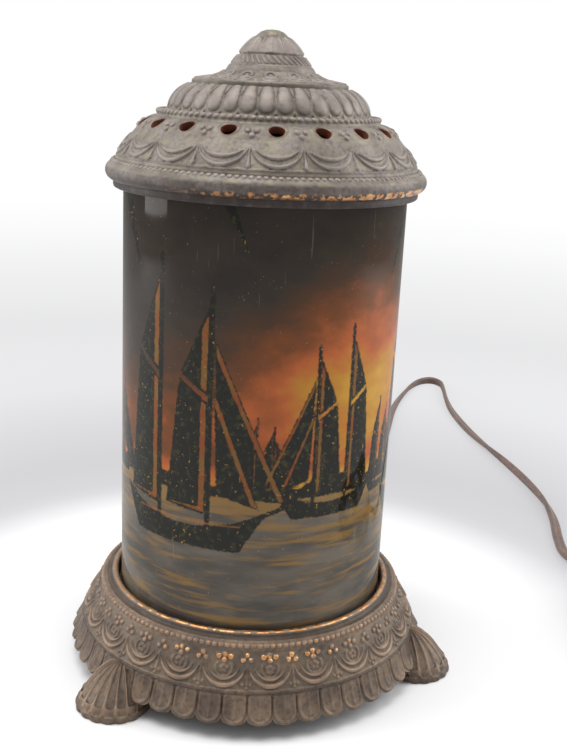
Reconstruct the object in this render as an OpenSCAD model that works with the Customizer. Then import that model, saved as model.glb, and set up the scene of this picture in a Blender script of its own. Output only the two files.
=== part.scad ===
// Rotating motion lamp: a painted glass cylinder between a cast base on shell feet and a
// cast, vented cap. The bulb inside warms the air, which turns a light drum that hangs
// on a needle. Millimetres, +Z up, the floor at z = 0, the front of the lamp towards -Y.

/* [Glass shade] */
// Outside diameter of the glass cylinder
glass_d = 114; // [106:0.5:122]
// Wall of the glass
glass_wall = 2.5; // [2:0.1:4]
// Height of the glass
glass_h = 177.7; // [170:0.1:200]

/* [Base casting] */
// Height of the glass seat above the floor
seat_h = 30; // [28:0.5:36]
// Thickness of the seat ledge
seat_t = 3; // [2.5:0.1:4]
// Width of the seat ledge, from the collar inwards
seat_w = 8.2; // [7.5:0.1:10]
// Gap between the glass and the collar
collar_gap = 1.2; // [0.8:0.1:2]
// Height of the collar above the seat
collar_h = 7.4; // [5:0.1:10]
// Thickness of the collar's lip
collar_w = 4.2; // [3.5:0.1:6]
// Width of the upper ornamented band, in plan
berry_band_w = 6; // [5:0.1:9]
// Height of the upper ornamented band
berry_band_h = 8.6; // [7:0.1:10]
// Width of the swag band, in plan
swag_band_w = 4.6; // [4:0.1:8]
// Height of the swag band
swag_band_h = 9.2; // [7:0.1:10]
// Width of the scalloped skirt, in plan
skirt_w = 5.3; // [4:0.1:8]
// Height of the skirt's hem above the floor
hem_h = 7.1; // [5:0.1:8]
// Wall of the casting
base_wall = 3; // [2.5:0.1:3.5]
// Thickness of the round hem and of the ring between the bands
bead_d = 2.4; // [2:0.1:3]

/* [Ornament] */
// Number of swags round the base
base_swags = 24; // [20:1:26]
// Direction of the first of them, from the front
base_swag_turn = 7.8; // [0:0.1:15]
// Number of tongues round the skirt
tongues = 48; // [40:1:54]
// Direction of the first tongue, from the front
tongue_turn = -3; // [-4:0.1:4]
// Number of gadroons round the cap's dome
gadroons = 36; // [30:1:40]
// Direction of the first gadroon, from the front
gadroon_turn = -1.5; // [-5:0.1:5]
// Height of the relief on both castings
relief_h = 0.9; // [0.6:0.05:1.1]

/* [Shell feet] */
// Number of feet
foot_count = 3; // [3:1:4]
// Direction of the first foot from the front, towards +X
foot_turn = -44; // [-60:1:-30]
// How far a foot reaches past the skirt's hem
foot_reach = 12.1; // [9:0.1:16]
// Width of a foot across its lip
foot_w = 29; // [24:0.5:34]
// Height of a foot's lip
foot_lip_h = 4.5; // [3:0.1:6]

/* [Cap casting] */
// How far the cap hangs over the glass
cap_drop = 6.3; // [4:0.1:9]
// Gap between the glass and the cap
cap_gap = 1.5; // [1:0.1:2]
// Thickness of the cap's rim below its bead
rim_wall = 2.5; // [2:0.1:3.5]
// Thickness of the round bead on the rim
rim_bead_d = 7.6; // [6:0.1:9]
// Height of the rim, up to the slope
rim_h = 12; // [10.5:0.1:15]
// How far the slope runs inwards
slope_w = 10.5; // [9:0.1:12]
// Height of the slope
slope_h = 14.1; // [11:0.1:17]
// Width of the shoulder, from the slope to the bead ring
shoulder_w = 6.3; // [5:0.1:8]
// Rise of the shoulder
shoulder_h = 2.2; // [1.5:0.1:3]
// Thickness of the bead ring
ring_d = 2.6; // [2:0.1:3]
// Width of the step between the bead ring and the dome
step_w = 4.1; // [3:0.1:6]
// How far the dome runs inwards
dome_w = 9.3; // [8:0.1:12]
// Height of the dome
dome_h = 15; // [11:0.1:16]
// Width of the flat disc on the dome
disc_w = 7.8; // [6:0.1:10]
// Thickness of the disc's edge
disc_t = 2; // [1.5:0.1:3]
// Radius of the finial's bud
bud_r = 17.9; // [15:0.1:20]
// Height of the finial above the disc
bud_h = 19.5; // [16:0.1:24]
// Wall of the cap
cap_wall = 2.4; // [2:0.1:3]
// Width of the ledge that rests on the glass
ledge_w = 6.5; // [5.5:0.1:9]
// Thickness of that ledge
ledge_t = 3; // [2.5:0.1:4]
// Number of vent holes
vent_count = 18; // [12:1:24]
// Diameter of a vent hole
vent_d = 5.5; // [4:0.1:6.5]
// Direction of the first vent hole from the front, towards +X
vent_turn = 3.5; // [0:0.5:20]

/* [Crossbar] */
// Width of the strap
bar_w = 14; // [12:0.5:20]
// Thickness of the strap
bar_t = 2; // [1.5:0.1:2.5]
// Shank diameter of the strap's screws
screw_d = 4; // [3:0.1:5]
// Head diameter of the strap's screws
screw_head_d = 7.5; // [6.5:0.1:9]
// Head height of the strap's screws
screw_head_h = 2.4; // [1.5:0.1:3]

/* [Lamp holder] */
// Outside diameter of the threaded tube
nipple_d = 9.6; // [9:0.1:11]
// Bore of the threaded tube
nipple_bore = 7; // [6.6:0.1:7.4]
// Length of the threaded tube below the strap
nipple_below = 6; // [5:0.1:6]
// Length of the threaded tube above the strap
nipple_above = 12; // [8:0.1:14]
// Width of the locknut across its flats
nut_w = 15; // [14:0.5:20]
// Thickness of the locknut
nut_t = 3; // [2.5:0.1:3.5]
// Outside diameter of the bushing on the tube's end
bushing_d = 12.4; // [12:0.1:14]
// Outside diameter of the holder's shell
holder_d = 33.4; // [33:0.1:38]
// Height of the holder's shell
holder_h = 42; // [38:0.5:46]
// Height of the holder's cap
holder_cap_h = 15; // [13.5:0.5:17]
// Thickness of the holder's brass
brass_t = 0.7; // [0.5:0.1:1]
// Thickness of the insulating sleeve
liner_t = 0.8; // [0.5:0.1:1]
// Height of the insulator that carries the contacts
insulator_h = 11; // [9:0.5:12]

/* [Bulb] */
// Diameter of the bulb's envelope
bulb_d = 48; // [44:0.5:50]
// Length of the envelope above the screw cap
bulb_len = 65; // [60:0.5:72]
// Diameter of the bulb's screw cap
bulb_base_d = 26.4; // [26:0.1:26.6]
// Height of the bulb's screw cap
bulb_base_h = 21; // [18:0.5:23]
// Wall of the bulb's glass
bulb_wall = 0.7; // [0.5:0.1:1]

/* [Pivot] */
// Diameter of the yoke's wire
wire_d = 2; // [1.6:0.1:3]
// Distance from the axis to each leg of the yoke
yoke_r = 30; // [28.5:0.5:36]
// Bend radius of the yoke
yoke_bend = 12; // [8:0.5:16]
// Diameter of the collar that holds the needle
holder_ring_d = 7; // [6:0.1:9]
// Height of that collar
holder_ring_h = 10; // [8:0.5:12]
// Diameter of the needle
needle_d = 1.6; // [1.2:0.1:2]
// Length of the needle above the collar
needle_len = 15; // [12:0.5:20]
// How far the needle's point lies below the top of the glass
needle_drop = 17; // [12:0.5:24]

/* [Rotor] */
// Outside diameter of the drum
drum_d = 93.2; // [86:0.5:98]
// Wall of the drum
drum_wall = 0.6; // [0.5:0.1:1]
// Height of the drum
drum_h = 124; // [100:1:130]
// Thickness of the vaned disc
vane_t = 0.8; // [0.5:0.1:1]
// Number of vanes
vane_count = 12; // [8:1:16]
// Tilt of the vanes
vane_tilt = 28; // [15:1:35]
// Width of the disc's rim
vane_rim_w = 3.4; // [2.5:0.1:5]
// Diameter of the disc's hub
hub_d = 18; // [15:0.5:24]
// Diameter of the bearing cup
cup_d = 6.4; // [5.6:0.1:8]
// Height of the bearing cup
cup_h = 6.5; // [6:0.1:8]

/* [Flat lead] */
// Width of the flat lead
cord_w = 6; // [5:0.1:6.3]
// Thickness of the flat lead
cord_t = 3; // [2.5:0.1:3.2]
// Direction from the front, towards +X, in which the lead leaves the base
exit_turn = 160; // [150:1:168]
// Height of the lead's exit above the floor
exit_h = 13.4; // [12.5:0.1:14]
// Largest diameter of the strain relief
sleeve_d = 9.4; // [8.6:0.1:10]
// Length of the strain relief outside the casting
sleeve_len = 22; // [18:0.5:30]
// Number of half turns in the coil, an odd number
coil_half_turns = 9; // [7:2:11]
// Radius of the coil's outer turn
coil_r = 40; // [38:0.5:44]
// Spacing of the turns
coil_pitch = 6.8; // [6.7:0.1:7.4]
// Spacing of the coil's layers
coil_layer = 4; // [3.9:0.1:5]
// Thickness of the tie
tie_t = 0.8; // [0.5:0.1:1]
// Width of the tie
tie_w = 6; // [4:0.5:10]

/* [Switch and plug] */
// Length of the in-line switch
switch_len = 58; // [50:1:64]
// Width of the in-line switch
switch_w = 24; // [20:0.5:25]
// Thickness of the in-line switch
switch_t = 17; // [15:0.5:20]
// Diameter of the switch's wheel
wheel_d = 28; // [25.5:0.5:30]
// Thickness of the switch's wheel
wheel_t = 5; // [4:0.5:6]
// Diameter of the switch's screw
switch_screw_d = 3.4; // [3:0.1:4]
// Diameter of the plug
plug_d = 22; // [20:0.5:24]
// Length of the plug's body
plug_len = 30; // [24:0.5:34]
// Distance between the plug's blades
blade_gap = 12.7; // [11:0.1:13]
// Width of a blade
blade_w = 6.3; // [5.5:0.1:7]
// Thickness of a blade
blade_t = 1.5; // [1.2:0.1:2]
// Length of a blade outside the plug
blade_len = 16; // [14:0.5:18]

/* [Hidden] */
$fn = 64;

// Clearance between pieces that lie loose on each other
rest_gap = 0.3;
// Radial clearance of a screw or tube in its hole
slip = 0.1;
// How far a cutter reaches past what it cuts
past = 1;

// Glass: where it stands
glass_r = glass_d / 2;
glass_z = seat_h + rest_gap;
glass_top = glass_z + glass_h;

// Base casting: its rings, from the collar out to the hem
collar_in = glass_r + collar_gap;
collar_out = collar_in + collar_w;
collar_z = seat_h + collar_h;
lip_z = collar_z - 1.6;
mid_r = collar_out + berry_band_w;
mid_z = lip_z - berry_band_h;
groove_r = mid_r + swag_band_w;
groove_z = mid_z - swag_band_h;
hem_r = groove_r + skirt_w;
seat_in = collar_in - seat_w;
seat_under = seat_h - seat_t;
foot_tip_r = hem_r + foot_reach;
foot_apex_r = groove_r - 1.5;
foot_apex_z = groove_z + 2.5;
bore_r = sleeve_d / 2 + slip;

// Cap casting: its rings, from the rim up to the bud
rim_z = glass_top - cap_drop;
rim_in = glass_r + cap_gap;
rim_r = rim_in + rim_wall;
rim_bead_r = rim_r - 0.7;
rim_bead_z = rim_z + rim_h - rim_bead_d / 2 - 0.6;
slope_r = rim_r - slope_w;
slope_z = rim_z + rim_h + slope_h;
ring_r = slope_r - shoulder_w;
ring_z = slope_z + shoulder_h;
dome_r = ring_r - step_w;
disc_r = dome_r - dome_w;
disc_z = ring_z + dome_h;
bud_foot_r = disc_r - disc_w;
bud_top = disc_z + bud_h;
vent_r = slope_r - 1.2;
vent_z = slope_z + 0.7;
vent_lean = 40;
ledge_z = glass_top + rest_gap;

// Crossbar, threaded tube and lamp holder
bar_z = seat_under - bar_t;
bar_half = collar_in - 1;
screw_x = (seat_in + collar_in) / 2;
screw_top = seat_h - 0.6;
nut_z = bar_z - nut_t;
nipple_z = bar_z - nipple_below;
nipple_top = seat_under + nipple_above;
shell_z = seat_under + holder_cap_h - 3;
shell_top = shell_z + holder_h;
shell_r = holder_d / 2;
liner_r = shell_r - brass_t - slip;
insulator_r = liner_r - liner_t - rest_gap;
insulator_z = max(nipple_top, shell_z) + 5;
contact_z = insulator_z + insulator_h;
contact_t = 2.2;
bulb_z = contact_z + contact_t + rest_gap;
bulb_base_r = bulb_base_d / 2;
bulb_neck_r = bulb_base_r - 0.9;
bulb_base_top = bulb_z + 3.5 + bulb_base_h;
bulb_r = bulb_d / 2;
bulb_top = bulb_base_top + bulb_len;
bulb_wide_z = bulb_top - bulb_r;
stem_z = bulb_base_top - 5;
stem_h = 0.4 * bulb_len;
socket_thread_r = bulb_base_r + 0.4;

// Needle and rotor
tip_z = glass_top - needle_drop;
holder_top = tip_z - needle_len;
yoke_z = holder_top - holder_ring_h / 2;
needle_foot = holder_top - 3;
disc_under = tip_z + 0.7;
vane_top = disc_under + vane_t;
drum_r = drum_d / 2;
drum_z = disc_under - drum_h;
hub_r = hub_d / 2;
cup_r = cup_d / 2;

// Lead: where it leaves the base, and where its coil, switch and plug lie on the floor
exit_r = hem_r + sleeve_len - 4;
sleeve_in = groove_r - base_wall - 3;
exit_x = exit_r * sin(exit_turn);
exit_y = -exit_r * cos(exit_turn);
flat = cord_t / 2;
switch_x = 192;
switch_y = 22;
switch_z = switch_t / 2;
switch_end = switch_len / 2;
coil_x = switch_x + coil_r;
coil_y = -43;
coil_z = flat + tie_t + 0.2;
plug_x = coil_x + coil_r;
plug_y = -8;
plug_r = plug_d / 2;
// Points of the lead on the floor, chosen by hand, from the base to the switch
run_points = [
  [37, 102, 13], [44, 121, 9.5], [51, 140, 5], [58, 160, 2], [66, 182, flat],
  [78, 220, flat], [88, 260, flat], [96, 300, flat], [104, 340, flat],
  [112, 370, flat], [122, 398, flat], [131, 418, flat], [140, 430, flat],
  [149, 433, flat], [155, 424, flat], [155, 408, flat], [153, 380, flat],
  [153, 350, flat], [157, 310, flat], [163, 275, flat], [171, 235, flat],
  [177, 200, flat], [180, 170, flat], [179, 145, flat], [175, 120, flat],
  [173, 100, 2], [176, 86, 3.5], [184, 74, 6]];
// Lead inside the base, as distances from the axis and heights
inner_points = [[62, 12.5], [48, 9], [34, 6], [22, 4.5], [12, 5], [5, 8.5], [1, 14]];
// Steps between two of the lead's points, and steps in a turn of its coil
run_steps = 2;
turn_steps = 24;

// A point at a distance from the axis in a direction from the front, towards +X
function spot(r, turn, z) = [r * sin(turn), -r * cos(turn), z];
// Points from p to q that bow outwards by b at the middle, in n steps
function bow(p, q, b, n) = let (d = q - p, out = [-d[1], d[0]] / norm(d))
  [for (i = [0:n]) let (t = i / n) p + d * t + out * b * 4 * t * (1 - t)];
// A list from its last item to its first
function backwards(list) = [for (i = [len(list) - 1:-1:0]) list[i]];
// A band is a bowed line up a casting: its foot, its top and its bow. The point t of the
// way up it, the unit vector that leaves it outwards, and a point beside and above it
function bow_at(band, t) = let (d = band[1] - band[0])
  band[0] + d * t + [-d[1], d[0]] / norm(d) * band[2] * 4 * t * (1 - t);
function bow_out(band, t) = let (d = band[1] - band[0],
    way = d + [-d[1], d[0]] / norm(d) * band[2] * 4 * (1 - 2 * t)) [way[1], -way[0]] / norm(way);
function on_band(band, turn, x, t, h) = let (p = bow_at(band, t), m = p + bow_out(band, t) * h)
  spot(m[0], turn + x / p[0] * 180 / PI, m[1]);
// A number that rises smoothly from 0 at t = 0 to 1 at t = 1
function ease(t) = let (c = min(max(t, 0), 1)) c * c * (3 - 2 * c);
function unit(v) = v / norm(v);
// A smooth curve through points, with n steps between each two
function smooth(points, n) = let (last = len(points) - 1) concat(
  [for (i = [0:last - 1], j = [0:n - 1]) let (t = j / n, a = points[max(i - 1, 0)],
      b = points[i], c = points[i + 1], d = points[min(i + 2, last)])
    (2 * b + (c - a) * t + (2 * a - 5 * b + 4 * c - d) * t * t + (3 * b - a - 3 * c + d) * t * t * t) / 2],
  [points[last]]);

// A tube of an oval section, w wide and t thick, along points, with its width level
// except where it climbs, where its side stays across side_hint
function tube_rings(points, w, t, sides) = [for (i = [0:len(points) - 1]) let (
    ahead = unit(points[min(i + 1, len(points) - 1)] - points[max(i - 1, 0)]),
    side = unit(cross(ahead, norm(cross(ahead, [0, 0, 1])) > 0.2 ? [0, 0, 1] : spot(1, exit_turn, 0))),
    up = cross(side, ahead))
  for (k = [0:sides - 1]) let (a = (k + 0.5) * 360 / sides, corner = cos(180 / sides))
    points[i] + side * (cos(a) / corner * w / 2) + up * (sin(a) / (sides % 4 == 0 ? corner : 1) * t / 2)];
function tube_faces(rings, sides) = concat(
  [for (i = [0:rings - 2], k = [0:sides - 1]) let (n = (k + 1) % sides)
    [i * sides + k, (i + 1) * sides + k, (i + 1) * sides + n]],
  [for (i = [0:rings - 2], k = [0:sides - 1]) let (n = (k + 1) % sides)
    [i * sides + k, (i + 1) * sides + n, i * sides + n]],
  [for (k = [1:sides - 2]) [0, k, k + 1]],
  [for (k = [1:sides - 2]) let (e = (rings - 1) * sides) [e, e + k + 1, e + k]]);

// The coil's centreline: in on the lower layer, a climb where the spiral reverses, and
// out on the upper layer. u counts turns.
coil_turns = coil_half_turns / 2;
coil_middle = coil_turns / 2;
climb = 0.5;
climb_dip = 3;
function coil_radius(u) = coil_r - coil_pitch * min(u, coil_turns - u)
  - (abs(u - coil_middle) < climb / 2 ? climb_dip * pow(cos(180 * (u - coil_middle) / climb), 2) : 0);
function coil_height(u) = coil_z + coil_layer * ease((u - coil_middle) / climb + 0.5);
function coil_point(u) = let (a = 180 + 360 * u, r = coil_radius(u))
  [coil_x + r * cos(a), coil_y + r * sin(a), coil_height(u)];
coil_line = [for (i = [0:coil_turns * turn_steps]) coil_point(i / turn_steps)];
lead_in_y = switch_y - switch_end;
lead_in = [[switch_x, lead_in_y, switch_z], [switch_x, lead_in_y - cord_w, switch_z - 0.6],
  [switch_x, (lead_in_y + coil_y) / 2, (switch_z + coil_z) / 2 - 0.8],
  [switch_x, coil_y + cord_w, coil_z + 0.2]];
lead_out = [[plug_x, coil_y + cord_w, coil_z + coil_layer + 0.2],
  [plug_x, (coil_y + plug_y) / 2, (plug_r + coil_z + coil_layer) / 2 - 0.8],
  [plug_x, plug_y - cord_w, plug_r - 0.6], [plug_x, plug_y, plug_r]];
wound_line = concat(lead_in, coil_line, lead_out);
run_line = smooth(concat([[exit_x, exit_y, exit_h]], run_points,
  [[switch_x - 1, switch_y + switch_end + 10, switch_z - 0.8],
   [switch_x, switch_y + switch_end + 3, switch_z], [switch_x, switch_y + switch_end, switch_z]]), run_steps);
inner_line = concat([for (p = concat([[sleeve_in, exit_h]], inner_points)) spot(p[0], exit_turn, p[1])],
  [[0, 0, nipple_z + 3], [0, 0, (nipple_z + nipple_top) / 2], [0, 0, insulator_z - 1]]);
function line_length(points) = len(points) < 2 ? 0
  : [for (i = 0, s = 0; i < len(points); i = i + 1,
      s = i < len(points) ? s + norm(points[i] - points[i - 1]) : s) s][len(points) - 1];
// Least distance between turns of the coil, measured between points a quarter turn or
// more apart, less the room that the lead takes sideways or upwards
coil_gap = min([for (i = [0:len(coil_line) - 1], j = [i + turn_steps / 2:1:len(coil_line) - 1])
  let (d = coil_line[j] - coil_line[i]) max(norm([d[0], d[1]]) - cord_w, abs(d[2]) - cord_t)]);
echo(coil_gap = coil_gap);
echo(lead_length = line_length(run_line) + switch_len + line_length(wound_line));

// Bands that carry ornament: the base's field and skirt, the cap's slope and dome
field_band = [[groove_r - 0.2, groove_z + 0.8], [collar_out + 1.9, lip_z - 1.2], 0];
skirt_band = [[hem_r, hem_h], [groove_r - 0.3, groove_z], 0.6];
slope_band = [[rim_r - 0.6, rim_z + rim_h], [slope_r, slope_z], 0];
dome_band = [[dome_r, ring_z + 1.8], [disc_r + 0.6, disc_z - disc_t], -2.6];
// Half a swag's width, and its two crescents: each has a low and a high circle, as the
// height of the middle and the radius
base_swag = PI * bow_at(field_band, 0.5)[0] / base_swags;
cap_swag = PI * bow_at(slope_band, 0.5)[0] / vent_count;
base_moons = base_swag * [[[1.11, 0.94], [1.33, 0.98]], [[1.3, 0.82], [1.7, 1.03]]];
cap_moons = cap_swag * [[[1.06, 0.95], [1.27, 0.98]], [[1.44, 0.98], [2.15, 1.5]]];
// Share of a tongue that hangs free below the skirt
tongue_free = 0.2;

module bar_of_circle(r, z, d) {
  rotate_extrude()
    translate([r, z])
      circle(d = d, $fn = 32);
}

// Base: collar, swag field, groove and skirt in one line, and the hollow underside
module base_profile() {
  lip = [[collar_in, seat_h], [collar_in, collar_z - 1.8], [collar_in + 0.7, collar_z - 0.5],
    [collar_in + 2, collar_z], [collar_out - 0.8, collar_z - 0.4], [collar_out, lip_z]];
  skirt = [for (t = [1, 0.6, tongue_free]) bow_at(skirt_band, t)];
  under = [[skirt[2][0] - base_wall, skirt[2][1]], [groove_r - base_wall, groove_z],
    [mid_r - base_wall, mid_z - 3.5], [collar_out - 0.5, seat_under],
    [seat_in, seat_under], [seat_in, seat_h]];
  polygon(concat(lip, [field_band[1], field_band[0]], skirt, under));
}

// A shell foot: from an apex in the casting's wall over a shoulder to a round lip
module foot(turn) {
  rotate(turn - 90)
    hull() {
      translate([foot_tip_r - foot_w / 2, 0, 0])
        cylinder(d = foot_w - 1.5, h = 0.5, $fn = 32);
      translate([foot_tip_r - foot_w / 2, 0, foot_lip_h / 2])
        cylinder(d = foot_w, h = foot_lip_h / 2, $fn = 32);
      translate([foot_apex_r + 3, 0, foot_lip_h])
        cylinder(d = foot_w * 0.64, h = (foot_apex_z - foot_lip_h) * 0.44, $fn = 32);
      translate([foot_apex_r + 1, 0, foot_apex_z - 1.5])
        cylinder(d = foot_w * 0.22, h = 1, $fn = 32);
    }
}

// Puts its children on a band: Y runs up the band's chord and Z leaves it outwards
module on_chord(band, turn) {
  out = bow_out(band, 0.5);
  rotate(turn)
    translate([0, -band[0][0], band[0][1]])
      rotate([atan2(out[0], out[1]), 0, 0])
        children();
}

// A crescent on a band, horns up: a disc less a second disc higher up. Each is the height
// of its middle above the band's foot, and its radius
module crescent(band, turn, low, high) {
  on_chord(band, turn)
    difference() {
      translate([0, low[0], -1.5])
        cylinder(r = low[1], h = 1.5 + relief_h);
      translate([0, high[0], -1.5 - past])
        cylinder(r = high[1], h = 1.5 + relief_h + 2 * past);
    }
}

// A tongue of the skirt: straight sides and a round end that hangs below the skirt
module tongue(turn) {
  low = PI * hem_r / tongues * 0.93;
  high = PI * groove_r / tongues * 0.93;
  on_chord(skirt_band, turn)
    translate([0, 0, -1.7])
      linear_extrude(1.7 + relief_h)
        union() {
          translate([0, low])
            circle(r = low);
          polygon([[-low, low], [low, low], [high, 10.8], [-high, 10.8]]);
        }
}

// A gadroon: part of a ring of round section that follows the bow of the dome
module gadroon(turn) {
  half = norm(dome_band[1] - dome_band[0]) / 2;
  rise = -dome_band[2];
  arc_r = (half * half + rise * rise) / (2 * rise);
  out = bow_out(dome_band, 0.5);
  mid = bow_at(dome_band, 0.5) - out * arc_r;
  sweep = 0.96 * asin(half / arc_r);
  lobe_r = PI * disc_r / gadroons * 0.93;
  rotate(turn)
    translate([0, -mid[0], mid[1]])
      rotate([90, 0, 90])
        rotate(180 - atan2(out[1], out[0]) - sweep)
          rotate_extrude(angle = 2 * sweep)
            translate([arc_r + 1.2 * relief_h - lobe_r, 0])
              circle(r = lobe_r, $fn = 24);
}

module base_casting() {
  color([0.42, 0.38, 0.35])
    difference() {
      union() {
        rotate_extrude()
          base_profile();
        bar_of_circle(collar_out + 1.4, lip_z - 1.3, bead_d);
        for (i = [0:foot_count - 1])
          foot(foot_turn + i * 360 / foot_count);
        for (i = [0:base_swags - 1], moon = base_moons)
          crescent(field_band, base_swag_turn + i * 360 / base_swags, moon[0], moon[1]);
        for (i = [0:tongues - 1])
          tongue(tongue_turn + i * 360 / tongues);
      }
      for (x = [-screw_x, screw_x])
        translate([x, 0, seat_under - past])
          cylinder(r = screw_d / 2 + slip, h = seat_t + 2 * past);
      rotate(exit_turn - 90)
        translate([sleeve_in - past, 0, exit_h])
          rotate([0, 90, 0])
            cylinder(r = bore_r, h = hem_r - sleeve_in + 2 * past);
    }
}

module crossbar() {
  color([0.55, 0.55, 0.54])
    difference() {
      translate([-bar_half, -bar_w / 2, bar_z])
        cube([2 * bar_half, bar_w, bar_t]);
      translate([0, 0, bar_z - past])
        cylinder(r = nipple_d / 2 + slip, h = bar_t + 2 * past);
      for (s = [-1, 1]) {
        translate([s * screw_x, 0, bar_z - past])
          cylinder(r = screw_d / 2 + slip, h = bar_t + 2 * past);
        translate([s * yoke_r, 0, bar_z - past])
          cylinder(r = wire_d / 2 + slip, h = bar_t + 2 * past);
      }
    }
}

module bar_screws() {
  color([0.7, 0.68, 0.6])
    for (x = [-screw_x, screw_x])
      difference() {
        union() {
          translate([x, 0, bar_z - screw_head_h])
            cylinder(d = screw_head_d, h = screw_head_h);
          translate([x, 0, bar_z - screw_head_h])
            cylinder(d = screw_d, h = screw_top - bar_z + screw_head_h);
        }
        translate([x - screw_head_d, -0.6, bar_z - screw_head_h - past])
          cube([2 * screw_head_d, 1.2, screw_head_h / 2 + past]);
      }
}

module nipple() {
  color([0.72, 0.6, 0.36])
    difference() {
      translate([0, 0, nipple_z])
        cylinder(d = nipple_d, h = nipple_top - nipple_z);
      translate([0, 0, nipple_z - past])
        cylinder(d = nipple_bore, h = nipple_top - nipple_z + 2 * past);
    }
}

module locknut() {
  color([0.74, 0.62, 0.38])
    difference() {
      translate([0, 0, nut_z])
        cylinder(d = nut_w / cos(30), h = nut_t, $fn = 6);
      translate([0, 0, nut_z - past])
        cylinder(r = nipple_d / 2 + slip, h = nut_t + 2 * past);
    }
}

// The bushing's sleeve goes over the tube, and its lip covers the tube's end
module nipple_bushing() {
  lip_t = 1.4;
  color([0.12, 0.1, 0.09])
    difference() {
      translate([0, 0, nipple_z - lip_t])
        cylinder(d = bushing_d, h = nut_z - rest_gap - nipple_z + lip_t);
      translate([0, 0, nipple_z])
        cylinder(r = nipple_d / 2 + slip, h = nipple_below + past);
      translate([0, 0, nipple_z - lip_t - past])
        cylinder(d = nipple_bore, h = lip_t + 2 * past);
    }
}

module socket_cap() {
  top = seat_under + holder_cap_h;
  color([0.75, 0.6, 0.32])
    rotate_extrude()
      polygon([[nipple_d / 2 + slip, seat_under], [shell_r - 6, seat_under],
        [shell_r - 2, seat_under + 2], [shell_r + 0.4, seat_under + 7],
        [shell_r + slip + brass_t, top - 3], [shell_r + slip + brass_t, top],
        [shell_r + slip, top], [shell_r + slip, top - 3],
        [shell_r + 0.4 - brass_t, seat_under + 7.2], [shell_r - 2.4, seat_under + 2 + brass_t],
        [shell_r - 6.2, seat_under + brass_t], [nipple_d / 2 + slip, seat_under + brass_t]]);
}

module socket_shell() {
  color([0.76, 0.62, 0.34])
    difference() {
      translate([0, 0, shell_z])
        cylinder(r = shell_r, h = holder_h);
      translate([0, 0, shell_z - past])
        cylinder(r = shell_r - brass_t, h = holder_h + 2 * past);
    }
}

module socket_liner() {
  color([0.55, 0.42, 0.28])
    difference() {
      translate([0, 0, shell_z + 0.5])
        cylinder(r = liner_r, h = holder_h - 1);
      translate([0, 0, shell_z - past])
        cylinder(r = liner_r - liner_t, h = holder_h + 2 * past);
    }
}

module socket_body() {
  color([0.15, 0.11, 0.09])
    difference() {
      translate([0, 0, insulator_z])
        cylinder(r = insulator_r, h = insulator_h);
      for (s = [-1, 1]) {
        translate([-insulator_r, s * (insulator_r - 1.6) - (s < 0 ? insulator_r : 0), insulator_z - past])
          cube([2 * insulator_r, insulator_r, insulator_h - 2 + past]);
        translate([0, s * (insulator_r - 7), insulator_z + insulator_h / 2])
          rotate([s * -90, 0, 0])
            cylinder(r = 1.5 + slip, h = 7);
      }
    }
}

module terminal_screws() {
  color([0.78, 0.66, 0.4])
    for (s = [-1, 1])
      translate([0, 0, insulator_z + insulator_h / 2])
        rotate([s * -90, 0, 0]) {
          translate([0, 0, insulator_r - 6])
            cylinder(r = 1.5, h = 4.4);
          translate([0, 0, insulator_r - 1.6])
            cylinder(r = 2.8, h = 1.2);
        }
}

module screw_shell() {
  color([0.74, 0.5, 0.32])
    difference() {
      translate([0, 0, contact_z])
        cylinder(r = socket_thread_r + 0.5, h = shell_top - 1 - contact_z);
      translate([0, 0, contact_z + 0.5])
        cylinder(r = socket_thread_r, h = holder_h);
      translate([0, 0, contact_z - past])
        cylinder(r = 8, h = 2 * past);
    }
}

module centre_contact() {
  color([0.78, 0.64, 0.36])
    translate([0, 0, contact_z])
      cylinder(r = 4, h = contact_t);
}

module bulb_base() {
  color([0.75, 0.75, 0.73])
    rotate_extrude()
      polygon([[0, bulb_z], [4, bulb_z], [4.6, bulb_z + 1.2], [9.5, bulb_z + 2.4],
        [bulb_base_r, bulb_z + 3.5], [bulb_base_r, bulb_base_top], [bulb_base_r - 0.6, bulb_base_top],
        [bulb_base_r - 0.6, bulb_z + 4.5], [0, bulb_z + 4.5]]);
}

// The envelope from its neck to its crown: a cone from the neck, then a ball
function bulb_line(t) = concat([[bulb_neck_r - t, bulb_base_top - 6], [bulb_neck_r - t, bulb_base_top + 3]],
  bow([bulb_neck_r - t, bulb_base_top + 6], [bulb_r - t, bulb_wide_z], -1.5, 6),
  [for (a = [10:10:90]) [(bulb_r - t) * cos(a), bulb_wide_z + (bulb_r - t) * sin(a)]]);

module bulb_glass() {
  color([0.93, 0.93, 0.9, 0.6])
    rotate_extrude()
      polygon(concat(bulb_line(0), backwards(bulb_line(bulb_wall))));
}

module bulb_stem() {
  r = bulb_neck_r - bulb_wall - rest_gap;
  color([0.85, 0.88, 0.88, 0.7])
    translate([0, 0, stem_z])
      rotate_extrude()
        polygon([[0, 0], [r, 0], [r, 1], [4, stem_h * 0.2], [3, stem_h * 0.55],
          [2, stem_h * 0.7], [2, stem_h], [0, stem_h]]);
}

// Two supports lean out from the stem's head and carry the ring of wire
module bulb_filament() {
  lean = 35;
  support_h = stem_h / 2;
  z = stem_z + stem_h - 1.2;
  color([0.5, 0.5, 0.5])
    union() {
      for (s = [-1, 1])
        translate([s * 1, 0, z])
          rotate([0, s * lean, 0])
            cylinder(r = 0.5, h = support_h);
      translate([0, 0, z + (support_h - 0.8) * cos(lean)])
        rotate_extrude()
          translate([1 + (support_h - 0.8) * sin(lean), 0])
            circle(r = 0.5, $fn = 16);
    }
}

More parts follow.
